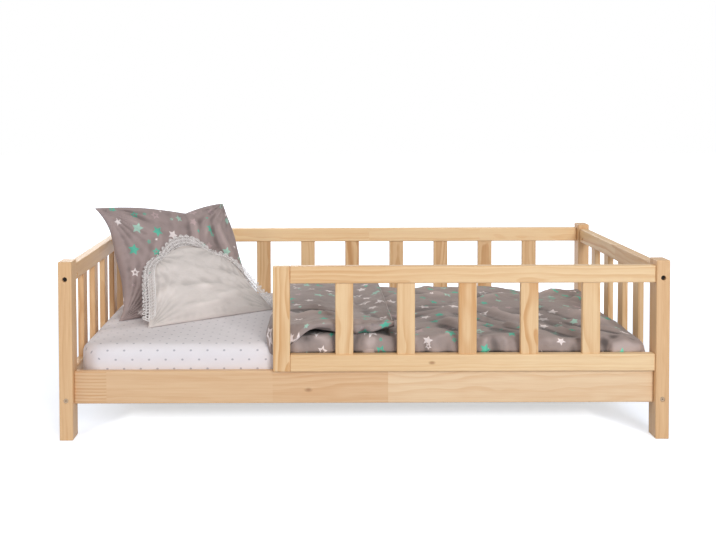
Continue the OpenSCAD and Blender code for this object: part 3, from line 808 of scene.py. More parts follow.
@dataclass(frozen=True)
class Lace(Finish):
    """White cotton lace: a net with rows of eyelets, each in a thick rim."""

    width: float = 0.038
    mesh: float = 0.0052
    eyelet: float = 0.0125
    eye: float = 0.0036
    edge: float = 0.0006
    rim: tuple[float, float] = (0.0014, 0.002)
    rows: tuple[tuple[float, float], ...] = ((0.34, 0.0), (0.62, 0.5), (0.90, 0.0), (1.18, 0.5))

    def shade(self, g: Graph) -> None:
        """Adds the open net and the eyelets as see-through parts.

        Args:
            g: Graph to add to.
        """
        x, y, _ = g.split(g.weave())
        turn = 2 * math.pi / self.mesh
        net = g.math("SINE", (x + y) * turn) * g.math("SINE", (x - y) * turn)
        level = y / self.width
        clear = g.smooth(net, -0.10, 0.15)
        for count, (row, shift) in enumerate(self.rows):
            wide = self.eyelet * (1.0 + 0.3 * (count % 2))
            gap_x = (g.math("FRACT", x / self.eyelet + shift) - 0.5) * wide
            gap_y = (level - row) * self.width
            hole = g.math("SQRT", gap_x * gap_x + gap_y * gap_y)
            past = g.smooth(hole, self.eye, self.eye + self.edge)
            rope = past * (1.0 - g.smooth(hole, self.eye + self.rim[0], self.eye + self.rim[1]))
            clear = g.math("MAXIMUM", clear * (1.0 - rope), 1.0 - past)
        clear = clear * g.smooth(level, 0.04, 0.10)
        g.surface(
            Base_Color=tint(246, 241, 239),
            Roughness=0.8,
            Alpha=1.0 - clear * 0.95,
            Sheen_Weight=0.2,
            Normal=g.bump(net * 0.5 + 0.5, 0.0006, 0.6),
        )


# Modelling helpers


def deselect() -> None:
    bpy.ops.object.select_all(action="DESELECT")


def choose(*objects: bpy.types.Object) -> None:
    """Selects only some objects and makes the first one active.

    Args:
        objects: The objects.
    """
    deselect()
    for item in objects:
        item.select_set(True)
    bpy.context.view_layer.objects.active = objects[0]


def thicken(item: bpy.types.Object, thickness: float, offset: float) -> None:
    """Gives a single layer of cloth its thickness.

    Args:
        item: The piece.
        thickness: Its thickness in metres.
        offset: 1 to grow outwards, 0 to both sides.
    """
    solid = item.modifiers.new("thickness", "SOLIDIFY")
    solid.thickness = thickness
    solid.offset = offset
    choose(item)
    bpy.ops.object.modifier_apply(modifier=solid.name)
    bpy.ops.object.shade_smooth()


def edited(*steps: Callable[[], object]) -> None:
    """Runs steps on the whole active mesh in edit mode.

    Args:
        steps: Functions without arguments, in order.
    """
    bpy.ops.object.mode_set(mode="EDIT")
    bpy.ops.mesh.select_all(action="SELECT")
    for step in steps:
        step()
    bpy.ops.object.mode_set(mode="OBJECT")


def close_opening() -> None:
    """Closes the open edge of a mesh with one face."""
    bpy.ops.mesh.select_all(action="DESELECT")
    bpy.ops.mesh.select_mode(type="VERT")
    bpy.ops.mesh.select_non_manifold()
    bpy.ops.mesh.edge_face_add()
    bpy.ops.mesh.select_all(action="SELECT")


def face_outwards() -> None:
    """Turns all selected faces outwards."""
    bpy.ops.mesh.normals_make_consistent(inside=False)


Shaper = Callable[[Array, Array], Array]


@dataclass
class Panel:
    """A grid of cloth that is laid out in space by a function of its two directions.

    Its cloth map measures the cloth itself, along its threads, from chosen lines on."""

    name: str
    cells: tuple[int, int]
    start: tuple[float, float] = (0.5, 0.5)
    offset: tuple[float, float] = (0.0, 0.0)
    even: bool = False

    def measure(self, places: Array, flat: Array) -> Array:
        """Measures how far each point lies along the threads.

        Args:
            places: Points in space, one for each grid point.
            flat: The same points on the flat grid.

        Returns:
            Two lengths for each point.
        """
        count = (self.cells[0] + 1, self.cells[1] + 1)
        index = np.rint((flat[:, :2] + 1) / 2 * self.cells).astype(int)
        grid = np.zeros((*count, 3))
        grid[index[:, 0], index[:, 1]] = places
        lengths = []
        for axis in (0, 1):
            step = np.linalg.norm(np.diff(grid, axis=axis), axis=2)
            if self.even:
                step = np.broadcast_to(np.median(step, axis=1 - axis, keepdims=True), step.shape)
            total = np.cumsum(step, axis=axis)
            zero = np.zeros_like(np.take(total, [0], axis=axis))
            total = np.concatenate([zero, total], axis=axis)
            origin = np.take(total, [round(self.start[axis] * self.cells[axis])], axis=axis)
            lengths.append((total - origin)[index[:, 0], index[:, 1]] + self.offset[axis])
        return np.stack(lengths, 1)

    def lay(self, shape: Shaper, turned: bool = False) -> bpy.types.Object:
        """Adds the grid and moves its points to where the function says.

        Args:
            shape: Takes u and v from -1 to 1 and gives places in millimetres.
            turned: Whether its outer side looks the other way.

        Returns:
            The laid-out piece with its cloth map.
        """
        deselect()
        across, up = self.cells
        bpy.ops.mesh.primitive_grid_add(x_subdivisions=across, y_subdivisions=up, size=2)
        item = bpy.context.active_object
        item.name = self.name
        mesh = item.data
        flat = np.zeros(len(mesh.vertices) * 3)
        mesh.vertices.foreach_get("co", flat)
        flat = flat.reshape(-1, 3)
        places = shape(flat[:, 0].copy(), flat[:, 1].copy())
        # A fourth column is the fold depth, which the cloth finish paints as shade and highlight.
        if places.shape[1] == 4:
            hollow = mesh.attributes.new(Cloth.HOLLOW, "FLOAT", "POINT")
            hollow.data.foreach_set("value", places[:, 3].copy())
            places = places[:, :3].copy()
        cloth = self.measure(places, flat)
        mesh.vertices.foreach_set("co", (places * MM).ravel())
        corner = np.zeros(len(mesh.loops), dtype=int)
        mesh.loops.foreach_get("vertex_index", corner)
        layer = mesh.uv_layers.active
        layer.name = Cloth.MAP
        layer.data.foreach_set("uv", (cloth[corner] * MM).ravel())
        mesh.update()
        if turned:
            edited(bpy.ops.mesh.flip_normals)
        return item


def stitch(name: str, parts: Sequence[bpy.types.Object], reach: float = 0.0004) -> bpy.types.Object:
    """Joins panels into one piece and closes the seam between them.

    Args:
        name: Name of the piece.
        parts: Its panels.
        reach: Greatest distance of points that become one.

    Returns:
        The closed piece, shaded smooth.
    """
    choose(*parts)
    bpy.ops.object.join()
    item = bpy.context.active_object
    item.name = name
    edited(lambda: bpy.ops.mesh.remove_doubles(threshold=reach), face_outwards)
    bpy.ops.object.shade_smooth()
    return item


def ease(t: Array) -> Array:
    """Rises softly from 0 to 1."""
    k = np.clip(t, 0.0, 1.0)
    return k * k * (3 - 2 * k)


def near_edges(t: Array) -> Array:
    """Draws evenly spaced values together near -1 and 1."""
    return np.sin(np.clip(t, -1, 1) * math.pi / 2)


@dataclass(frozen=True)
class Ripples:
    """Creases made of long waves with sharp tops, the same on every run."""

    count: int
    shortest: float
    longest: float
    seed: int
    sharp: float = 1.0

    def at(self, x: Array, y: Array) -> Array:
        """Gives their height, from about -1 to 1.

        Args:
            x: Places in millimetres, one way.
            y: Places in millimetres, the other way.

        Returns:
            The height at each place.
        """
        pick = np.random.default_rng(self.seed)
        total, power = np.zeros_like(x), 0.0
        for _ in range(self.count):
            angle = pick.uniform(0, math.pi)
            length = math.exp(pick.uniform(math.log(self.shortest), math.log(self.longest)))
            phase, weight = pick.uniform(0, 2 * math.pi), length / self.longest
            cos, sin = math.cos(angle), math.sin(angle)
            bend = 0.25 * length * np.sin((x * sin - y * cos) / (1.7 * length) + phase)
            wave = np.sin((x * cos + y * sin + bend) * 2 * math.pi / length + phase)
            ridge = 1 - 2 * np.abs(wave) ** 0.8
            total += weight * (self.sharp * ridge + (1 - self.sharp) * wave)
            power += weight**2
        return total / math.sqrt(power)


@dataclass(frozen=True)
class Fold:
    """One soft fold in cloth, in millimetres: tapered, curved and with a hollow beside it."""

    x: float
    y: float
    heading: float
    length: float
    width: float
    height: float
    bend: float = 0.0

    def at(self, x: Array, y: Array) -> Array:
        """Gives its height.

        Args:
            x: Places in millimetres, one way.
            y: Places in millimetres, the other way.

        Returns:
            The height at each place.
        """
        angle, half = math.radians(self.heading), self.length / 2
        dx, dy = x - self.x, y - self.y
        run = dx * math.cos(angle) + dy * math.sin(angle)
        off = dy * math.cos(angle) - dx * math.sin(angle) - self.bend * run * run / half
        taper = ease(1.0 - np.abs(run) / half)
        slope = off / (self.width * (0.7 + 0.5 * taper))
        return self.height * taper * (np.exp(-slope * slope) - 0.45 * np.exp(-((slope - 1.7) ** 2)))


@dataclass(frozen=True)
class Scatter:
    """Folds thrown over an area of cloth, the same on every run."""

    count: int
    area: tuple[float, float, float, float]
    length: tuple[float, float]
    width: tuple[float, float]
    heading: float
    spread: float
    seed: int
    chosen: tuple[Fold, ...] = ()

    def at(self, x: Array, y: Array) -> Array:
        """Gives their height, from about -1 to 1.5, with the chosen ones on top.

        Args:
            x: Places in millimetres, one way.
            y: Places in millimetres, the other way.

        Returns:
            The height at each place.
        """
        pick = np.random.default_rng(self.seed)
        total = np.zeros_like(x)
        for _ in range(self.count):
            place = pick.uniform(self.area[:2], self.area[2:])
            turned = self.heading + self.spread * pick.uniform(-1, 1)
            long, wide = pick.uniform(*self.length), pick.uniform(*self.width)
            high, bend = pick.uniform(0.35, 1.0), pick.uniform(-0.5, 0.5)
            total += Fold(*place, turned, long, wide, high, bend).at(x, y)
        return np.clip(total, -1.2, 1.6) + sum(fold.at(x, y) for fold in self.chosen)


# Form of the made bed, in millimetres


@dataclass(frozen=True)
class BedTop:
    """Form of the mattress in its sheet, which everything soft lies on."""

    half: tuple[float, float] = (800.0, 400.0)
    low: float = 155.5
    high: float = 255.5
    edge: float = 28.0
    corner: float = 60.0
    crown: float = 5.0
    sheet: float = 2.2
    press: float = 2.0

    @property
    def top(self) -> float:
        """Height of the sheet at the mattress's edge."""
        return self.high + self.sheet

    def crown_at(self, x: Array, y: Array) -> Array:
        """Gives how far the middle stands above the edges."""
        along, across = (np.maximum(0, 1 - (v / h) ** 2) for v, h in zip((x, y), self.half))
        return self.crown * along * across

    def height(self, x: Array, y: Array) -> Array:
        """Gives the height of the made bed with its rounded edges.

        Args:
            x: Places along the bed.
            y: Places across it.

        Returns:
            The height at each place.
        """
        radius = self.edge + self.sheet
        past = [np.maximum(0, np.abs(v) - h + self.edge) for v, h in zip((x, y), self.half)]
        d = np.minimum(radius, np.hypot(*past))
        return self.top - radius + np.sqrt(radius**2 - d**2) + self.crown_at(x, y)

    def pressed(self, depth: Array) -> Array:
        """Flattens what would reach below zero, with a soft margin."""
        return (depth + np.sqrt(depth**2 + self.press**2)) / 2

    def carry(self, places: Array, lift: float = 0.5) -> Array:
        """Lays places on the bed where they would reach into it.

        Args:
            places: Points in space.
            lift: Clearance above the sheet.

        Returns:
            The points, moved up where needed.
        """
        low = self.height(places[:, 0], places[:, 1]) + lift
        moved = places.copy()
        moved[:, 2] = low + self.pressed(places[:, 2] - low)
        return moved


@dataclass(frozen=True)
class Pad:
    """Grid laid over the mattress's form: a flat middle and a walk outwards round its edges."""

    bed: BedTop
    out: float
    hem: float
    flat_cells: tuple[int, int] = (56, 28)
    arc: int = 7
    wall: int = 4

    def stops(self) -> Array:
        """Lists the stops of the walk round the edge.

        Returns:
            Run from the corner's centre, height and share of the crown of each stop.
        """
        bed, radius = self.bed, self.bed.edge + self.out
        turns = np.linspace(0, math.pi / 2, self.arc)
        run = bed.corner - bed.edge + radius * np.sin(turns)
        drop = radius * (1 - np.cos(turns))
        upper = np.stack([run, bed.high + self.out - drop, np.ones_like(run)], 1)
        lower = np.stack([run, bed.low - self.out + drop, np.zeros_like(run)], 1)[::-1]
        share = np.linspace(0, 1, self.wall + 2)[1:-1, None]
        wall = upper[-1] * (1 - share) + lower[0] * share
        last = lower[-1] - np.array([self.hem, 0, 0])
        return np.concatenate([upper, wall, lower, last[None]])

    def cells(self) -> tuple[int, int]:
        """Gives the number of grid cells each way."""
        extra = 2 * len(self.stops())
        return self.flat_cells[0] + extra, self.flat_cells[1] + extra

    def place(self, u: Array, v: Array) -> tuple[Array, Array]:
        """Lays a grid over the form.

        Args:
            u: Place on the grid from -1 to 1, along the bed.
            v: The same across the bed.

        Returns:
            The points in space, and how many steps outwards each lies.
        """
        stops = self.stops()
        flat = [h - self.bed.corner for h in self.bed.half]
        base, step = [], []
        for t, middle, cells, full in zip((u, v), flat, self.flat_cells, self.cells()):
            index = np.rint((t + 1) / 2 * full) - full / 2
            extra = np.maximum(0, np.abs(index) - cells / 2)
            base.append(np.clip(index / (cells / 2), -1, 1) * middle)
            step.append(np.sign(index) * extra)
        ring = np.maximum(np.abs(step[0]), np.abs(step[1]))
        chosen = stops[np.maximum(ring - 1, 0).astype(int)]
        reach = np.where(ring > 0, chosen[:, 0], 0)
        share = np.minimum(*map(np.abs, step)) / np.maximum(ring, 1)
        turn = np.where(np.abs(step[0]) >= np.abs(step[1]), share, 2 - share) * math.pi / 4
        x = base[0] + np.sign(step[0]) * reach * np.cos(turn)
        y = base[1] + np.sign(step[1]) * reach * np.sin(turn)
        z = np.where(ring > 0, chosen[:, 1], stops[0, 1])
        z = z + np.where(ring > 0, chosen[:, 2], 1) * self.bed.crown_at(x, y)
        return np.stack([x, y, z], 1), ring


# Sub-assemblies, with lengths in millimetres where nothing else is said


@dataclass
class Part:
    """Common ground of the sub-assemblies: what they are called and ride on."""

    body: Body = Body.ROOT

    def dress(
        self, item: bpy.types.Object, finish: Finish, slot: str, nodes: Sequence[str]
    ) -> None:
        """Gives a new piece its material and its body, and hides the frame's nodes that it stands
        for.

        Args:
            item: The piece.
            finish: Its finish.
            slot: Not used.
            nodes: CAD nodes that it replaces.
        """
        item.data.materials.clear()
        item.data.materials.append(finish.material())
        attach(item, self.body.value)
        if nodes:
            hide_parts(*nodes)
        LOG.info("%s: %d faces", item.name, len(item.data.polygons))


@dataclass
class Timber(Part):
    """Wooden pieces and fasteners, carried over from the frame and given their finishes."""

    front_joints: tuple[float, ...] = (-0.720, -0.255, 0.068)
    front_shades: tuple[float, ...] = (-0.09, -0.075, -0.07, 0.03)
    guard_shades: tuple[float, ...] = (-0.03,)
    guard_drift: tuple[float, ...] = (-0.2, 0.75, 0.075)
    knots: dict[str, tuple[Knot, ...]] = field(
        default_factory=lambda: {
            "front_board": (Knot(-0.155, 0.136, 0.006),),
            "guard_bottom_rail": (Knot(0.189, 0.215, 0.005),),
        }
    )
    # Painted light: back pieces are coloured lighter, standing in for light that reaches the back
    # less.
    painted_back_light: float = 0.07
    rough_sawn: float = 0.62
    post_grain: float = 1.3
    slat_grain: float = 2.6
    board_grain: float = 1.0
    rail_grain: float = 1.7
    cut_shift: float = 0.18
    block_shade: float = 0.05
    step: float = 0.38
    metal: tuple[str, ...] = (
        "end_bolts",
        "side_bolts",
        "barrel_nuts",
        "cleat_screws",
        "base_screws",
    )
    soft: tuple[str, ...] = (
        "mattress",
        "fitted_sheet",
        "star_pillow",
        "lace_pillow",
        "lace_trim",
        "duvet",
    )

    def upright(self, name: str, centre: tuple[float, ...], seed: float) -> Pine:
        """Chooses the finish of a post, a slat or the guard's stile.

        Args:
            name: The piece's node.
            centre: Its middle.
            seed: Number that sets its own grain.

        Returns:
            Its finish.
        """
        tone = HONEY if name.startswith(("guard", "right")) else AMBER
        grain = self.post_grain if name.startswith("post") else self.slat_grain
        # Back slats are made lighter: painted light.
        shade = self.painted_back_light if name.startswith("back") else 0.0
        return Pine("pine_" + name, Axis.UP, centre, seed, tone, shades=(shade,), grain=grain)

    def lying(self, name: str, index: int, low: Sequence[float], high: Sequence[float]) -> Pine:
        """Chooses the finish of a board or a rail, glued from blocks.

        Args:
            name: The piece's node.
            index: Its number, which sets its own grain and joints.
            low: Lower corner of its box.
            high: Upper corner of its box.

        Returns:
            Its finish.
        """
        axis = Axis.ACROSS if name.startswith(("left", "right")) else Axis.ALONG
        start = low[axis.value]
        long = high[axis.value] - start
        count = max(1, round(long / self.step))
        offsets = (k + self.cut_shift * math.sin(5.0 * k + index) for k in range(1, count))
        cuts = tuple(start + long * offset / count for offset in offsets)
        shades = tuple(self.block_shade * math.sin(2.4 * k + index) for k in range(count))
        drift: tuple[float, ...] = ()
        # Painted light: the back top rail's blocks are made lighter.
        if name == "back_top_rail":
            shades = tuple(shade * 0.5 + self.painted_back_light for shade in shades)
        if name == "front_board":
            cuts, shades = self.front_joints, self.front_shades
        elif name.startswith("guard"):
            cuts, shades, drift = (), self.guard_shades, self.guard_drift
        # The back top rail takes the painted-light copy of HONEY.
        own = {"front_board": BOARD, "back_top_rail": PAINTED_LIGHT_HONEY}
        return Pine(
            "pine_" + name,
            axis,
            tuple((a + b) / 2 for a, b in zip(low, high)),
            3.0 + index,
            own.get(name, AMBER if name.startswith("left") else HONEY),
            cuts,
            shades,
            self.knots.get(name, ()),
            grain=self.board_grain if "board" in name else self.rail_grain,
            striped=name == "front_board",
            drift=drift,
        )

    def finish_for(self, name: str, index: int) -> Finish:
        """Chooses the finish of one piece.

        Args:
            name: The piece's node.
            index: Its number, which sets its own grain.

        Returns:
            Its finish.
        """
        low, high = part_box(name)
        centre = tuple((a + b) / 2 for a, b in zip(low, high))
        if name == "end_bolts":
            # Bolt heads sunk in the end holes get painted shade.
            return Zinc("zinc_painted_hole_shade", (0.439, 0.443))
        if name in self.metal:
            return Zinc("zinc")
        if name == "base_webbing":
            return Webbing("webbing")
        if name == "dowels":
            return Pine("beech", Axis.ALONG, (0, 0, 0), 1.0, AMBER, ring=0.003, roughness=0.6)
        if name == "base_slats" or "cleat" in name:
            axis = Axis.ALONG if "cleat" in name else Axis.ACROSS
            return Pine("pine_" + name, axis, centre, 3.0 + index, BASE, roughness=self.rough_sawn)
        if name.startswith("post") or "slat" in name or name == "guard_stile":
            return self.upright(name, centre, 3.0 + index)
        return self.lying(name, index, low, high)

    def build(self, nodes: dict[str, bpy.types.Object]) -> None:
        """Gives every wooden piece and fastener its material.

        Args:
            nodes: CAD nodes by name.
        """
        for index, (name, item) in enumerate(sorted(nodes.items())):
            if name in self.soft:
                continue
            item.data.materials.clear()
            item.data.materials.append(self.finish_for(name, index).material())


@dataclass
class Mattress(Part):
    """Foam core and the fitted sheet drawn over it."""

    body: Body = Body.MATTRESS
    bed: BedTop = field(default_factory=BedTop)
    hem: float = 7.0
    wrinkle: float = 1.8
    core_hem: float = 340.0
    cloth: float = 0.0008
    cover_in: float = 0.9
    side_share: float = 0.4
    flat: tuple[float, float] = (1.04, 1.84)
    print_at: tuple[float, float] = (-7.0, 8.4)
    long_waves: Ripples = Ripples(9, 120.0, 420.0, 11, 0.8)
    fine_waves: Ripples = Ripples(8, 35.0, 110.0, 12, 0.7)

    def core(self) -> bpy.types.Object:
        """Builds the core from one grid that is drawn together under it and closed.

        Returns:
            The closed core.
        """
        pad = Pad(self.bed, 0.0, self.core_hem, flat_cells=(16, 8), arc=5, wall=1)

        def shell(u: Array, v: Array) -> Array:
            """Lays one grid over the whole core, drawn together under its middle."""
            return pad.place(u, v)[0]

        item = Panel("mattress_core", pad.cells()).lay(shell)
        choose(item)
        edited(close_opening, face_outwards)
        bpy.ops.object.shade_smooth()
        return item

    def cover(self) -> bpy.types.Object:
        """Builds the fitted sheet with shallow wrinkles, gathers at its corners and a hem.

        Returns:
            The sheet, with the thickness of its cloth.
        """
        pad = Pad(self.bed, self.bed.sheet - self.cover_in, self.hem)
        count = len(pad.stops())

        def drawn(u: Array, v: Array) -> Array:
            """Lays the sheet and raises its wrinkles away from the core.

            Args:
                u: Place on the grid, along the bed.
                v: The same across the bed.

            Returns:
                The points in space.
            """
            places, ring = pad.place(u, v)
            x, y = places[:, 0], places[:, 1]
            corner = np.minimum(np.abs(x) / self.bed.half[0], np.abs(y) / self.bed.half[1])
            waves = 0.5 * self.long_waves.at(x, y) + 0.35 * self.fine_waves.at(x, y)
            lift = np.maximum(0, waves) * self.wrinkle
            lift *= 0.5 + ease((corner - 0.4) * 2)
            lift *= np.where(ring > count - 3, 0.2, 1.0)
            places[:, 2] += np.where(ring <= pad.arc, lift, 0)
            side = np.sign(places[:, :2]) * (ring[:, None] > pad.arc) * lift[:, None]
            places[:, :2] += np.clip(side * self.side_share, -self.side_share, self.side_share)
            return places

        item = Panel("sheet_cover", pad.cells(), offset=self.print_at).lay(drawn)
        thicken(item, self.cloth, 1.0)
        return item

    def build(self) -> None:
        core, cover = self.core(), self.cover()
        self.dress(core, Foam("foam"), "foam", ["mattress"])
        cotton = DottedCotton("dotted_cotton", ground=tint(234, 228, 230), relief=0.16)
        self.dress(cover, cotton, "sheet_cotton", ["fitted_sheet"])


def pillow_axes(turn: float, lean: float) -> Array:
    """Gives the directions along a pillow's foot, up its side and through it.

    Args:
        turn: Turn about the vertical in degrees.
        lean: Lean from upright in degrees.

    Returns:
        The three directions as rows.
    """
    t, l = math.radians(turn), math.radians(lean)
    return np.array(
        [
            [math.cos(t), math.sin(t), 0],
            [-math.sin(l) * math.sin(t), math.sin(l) * math.cos(t), math.cos(l)],
            [math.cos(l) * math.sin(t), -math.cos(l) * math.cos(t), math.sin(l)],
        ]
    )


@dataclass
class Pillow(Part):
    """A filled case that stands on the bed."""

    bed: BedTop = field(default_factory=BedTop)
    size: tuple[float, float, float] = (520.0, 372.0, 120.0)
    turn: float = 42.0
    lean: float = 22.0
    power: float = 0.42
    cells: tuple[int, int] = (96, 80)
    seed: int = 3
    crease: float = 6.5
    long_folds: int = 12
    heading: float = 75.0
    pucker: float = 27.0
    print_step: float = 900.0
    fan_waves: tuple[float, float] = (13, 17)
    fan_turn: tuple[float, float] = (0, 6)
    fan_reach: tuple[float, float] = (75, 115)
    fold_in: tuple[float, float] = (30.0, 20.0)
    short_folds: int = 34
    main_folds: tuple[Fold, ...] = ()

    @property
    def axes(self) -> Array:
        """Gives the pillow's own directions."""
        return pillow_axes(self.turn, self.lean)

    @property
    def foot(self) -> Array:
        """Gives the left end of its foot."""
        return np.zeros(3)

    def outline(self, u: Array, v: Array) -> Array:
        """Gives the flat place of a point of the case."""
        raise NotImplementedError

    def crowned(self, u: Array, v: Array) -> Array:
        """Gives half the thickness, thinning to the seam."""
        share = np.maximum(0, 1 - u * u) * np.maximum(0, 1 - v * v)
        return self.size[2] / 2 * share**self.power

    def fans(self, u: Array, v: Array, side: int) -> Array:
        """Gives creases that fan out from the corners.

        Args:
            u: Place on the case from -1 to 1, along its foot.
            v: The same up the case.
            side: 1 for its front, -1 for its back.

        Returns:
            The creases' height.
        """
        total = np.zeros_like(u)
        pick = np.random.default_rng(self.seed + 10 + side)
        for cu in (-1, 1):
            for cv in (-1, 1):
                du, dv = (u - cu) * self.size[0] / 2, (v - cv) * self.size[1] / 2
                reach = np.hypot(du, dv)
                angle = np.arctan2(np.abs(dv), np.abs(du))
                turn = angle * pick.uniform(*self.fan_waves) + pick.uniform(*self.fan_turn)
                wave = 1 - 2 * np.abs(np.sin(turn + reach * 0.006)) ** 0.9
                fade = np.exp(-reach / pick.uniform(*self.fan_reach))
                total += wave * ease(reach / 30) * fade
        return total

    def folds(self, u: Array, v: Array, side: int) -> Array:
        """Gives all creases: fans, long and short folds and puckers along the seam.

        Args:
            u: Place on the case from -1 to 1, along its foot.
            v: The same up the case.
            side: 1 for its front, -1 for its back.

        Returns:
            The creases' height.
        """
        flat = self.outline(u, v)
        x, y = flat[:, 0], flat[:, 1]
        seed = self.seed + side
        area = (*self.fold_in, self.size[0] - self.fold_in[0], self.size[1] - self.fold_in[1])
        soft = Ripples(7, 60.0, 190.0, seed + 20, 0.5)
        sizes, chosen = ((110.0, 300.0), (9.0, 18.0)), self.main_folds
        long = Scatter(self.long_folds, area, *sizes, self.heading, 40.0, seed + 30, chosen)
        sizes = (30.0, 90.0), (5.0, 10.0)
        short = Scatter(self.short_folds, area, *sizes, self.heading, 90.0, seed + 40)
        total = self.fans(u, v, side) + (0.8 * long.at(x, y) + 0.35 * short.at(x, y))
        edge = np.minimum(1 - np.abs(u), 1 - np.abs(v))
        run = np.where(1 - np.abs(u) < 1 - np.abs(v), y, x)
        pucker = np.sin(run * 2 * math.pi / self.pucker) * np.exp(-edge * 14) * 0.35
        return total + 0.15 * soft.at(x, y) + pucker

    def seat(self, places: Array) -> Array:
        """Lays the case on what is under it."""
        return self.bed.carry(places)

    def face(self, side: int) -> Shaper:
        """Gives the function that lays one side of the case.

        Args:
            side: 1 for its front, -1 for its back.

        Returns:
            The function.
        """

        def shape(u: Array, v: Array) -> Array:
            """Lays the side, bulged and creased, in the pillow's own directions.

            Args:
                u: Place on the grid, along the foot.
                v: The same up the case.

            Returns:
                The points in space, with the depth of the folds.
            """
            u, v = near_edges(u), near_edges(v)
            flat = self.outline(u, v)
            rim = ease(np.minimum(1 - np.abs(u), 1 - np.abs(v)) * 9)
            sway = 2.2 * np.sin(flat[:, 0] / 31 + flat[:, 1] / 23) * (1 - rim)
            fold = rim * self.folds(u, v, side)
            out = self.crowned(u, v) + self.crease * fold
            local = np.column_stack([flat, sway + side * out])
            # The fold, turned, goes along as the depth for the finish's painted shade and
            # highlight.
            return np.column_stack([self.seat(self.foot + local @ self.axes), -fold])

        return shape

    def case(self, name: str) -> bpy.types.Object:
        """Builds the closed case from its two sides.

        Args:
            name: Name of the piece.

        Returns:
            The case.
        """
        front = Panel(name + "_front", self.cells)
        back = Panel(name + "_back", self.cells, offset=(self.print_step, 0.0))
        return stitch(name, [front.lay(self.face(1)), back.lay(self.face(-1), turned=True)])


@dataclass
class StarPillow(Pillow):
    """Pillow in a star-print case across the back corner."""

    body: Body = Body.STAR
    draw: float = 0.17
    main_folds: tuple[Fold, ...] = (
        Fold(330, 255, 80, 210, 12, 1.8, 0.1),
        Fold(372, 250, 62, 190, 12, 1.5, -0.12),
        Fold(120, 300, -40, 220, 12, 1.4, 0.1),
        Fold(440, 190, 100, 260, 14, 1.4, 0.0),
    )
    slump: float = 0.11
    dip: float = 1.34
    dip_at: float = 0.3
    from_end: float = 5.0
    from_back: float = 91.0
    rail_top: float = 485.0
    inner: tuple[float, float] = (815.0, 412.0)

    @property
    def foot(self) -> Array:
        """Sets the left end of its foot off from the end rail and the back rail.

        Returns:
            The point in space.
        """
        t, l = math.radians(self.turn), math.radians(self.lean)
        run = (self.rail_top - self.bed.top) * math.tan(l)
        x = -self.inner[0] + self.from_end + run * math.sin(t)
        y = self.inner[1] - self.from_back - run * math.cos(t) - self.size[0] * math.sin(t)
        return np.array([x, y, self.bed.top])

    def outline(self, u: Array, v: Array) -> Array:
        """Draws the sides in between the corners; the top dips towards the back rail.

        Args:
            u: Place on the case from -1 to 1, along its foot.
            v: The same up the case.

        Returns:
            The flat places.
        """
        side_in = np.where(u < 0, self.draw * (1 - v**4), self.slump / 2 * ((1 + v) / 2) ** 2)
        rise, fall = (1 + u) / (1 + self.dip_at), (1 - u) / (1 - self.dip_at)
        dip = np.minimum(np.clip(rise, 0, 1) ** 1.6, np.clip(fall, 0, 1) ** 1.2)
        top_in = np.where(v < 0, 0, self.draw * self.dip * dip + self.slump * ((1 + u) / 2) ** 4)
        x = self.size[0] / 2 * (1 + u * (1 - side_in))
        y = self.size[1] / 2 * (1 + v * (1 - top_in))
        return np.column_stack([x, y])

    def build(self) -> None:
        """Builds the case."""
        item = self.case("star_case")
        # Painted shade and highlight in the folds.
        cotton = StarCotton("star_cotton_case", ground=tint(165, 147, 144), painted_fold_shade=0.62)
        self.dress(item, cotton, "star_cotton", ["star_pillow"])


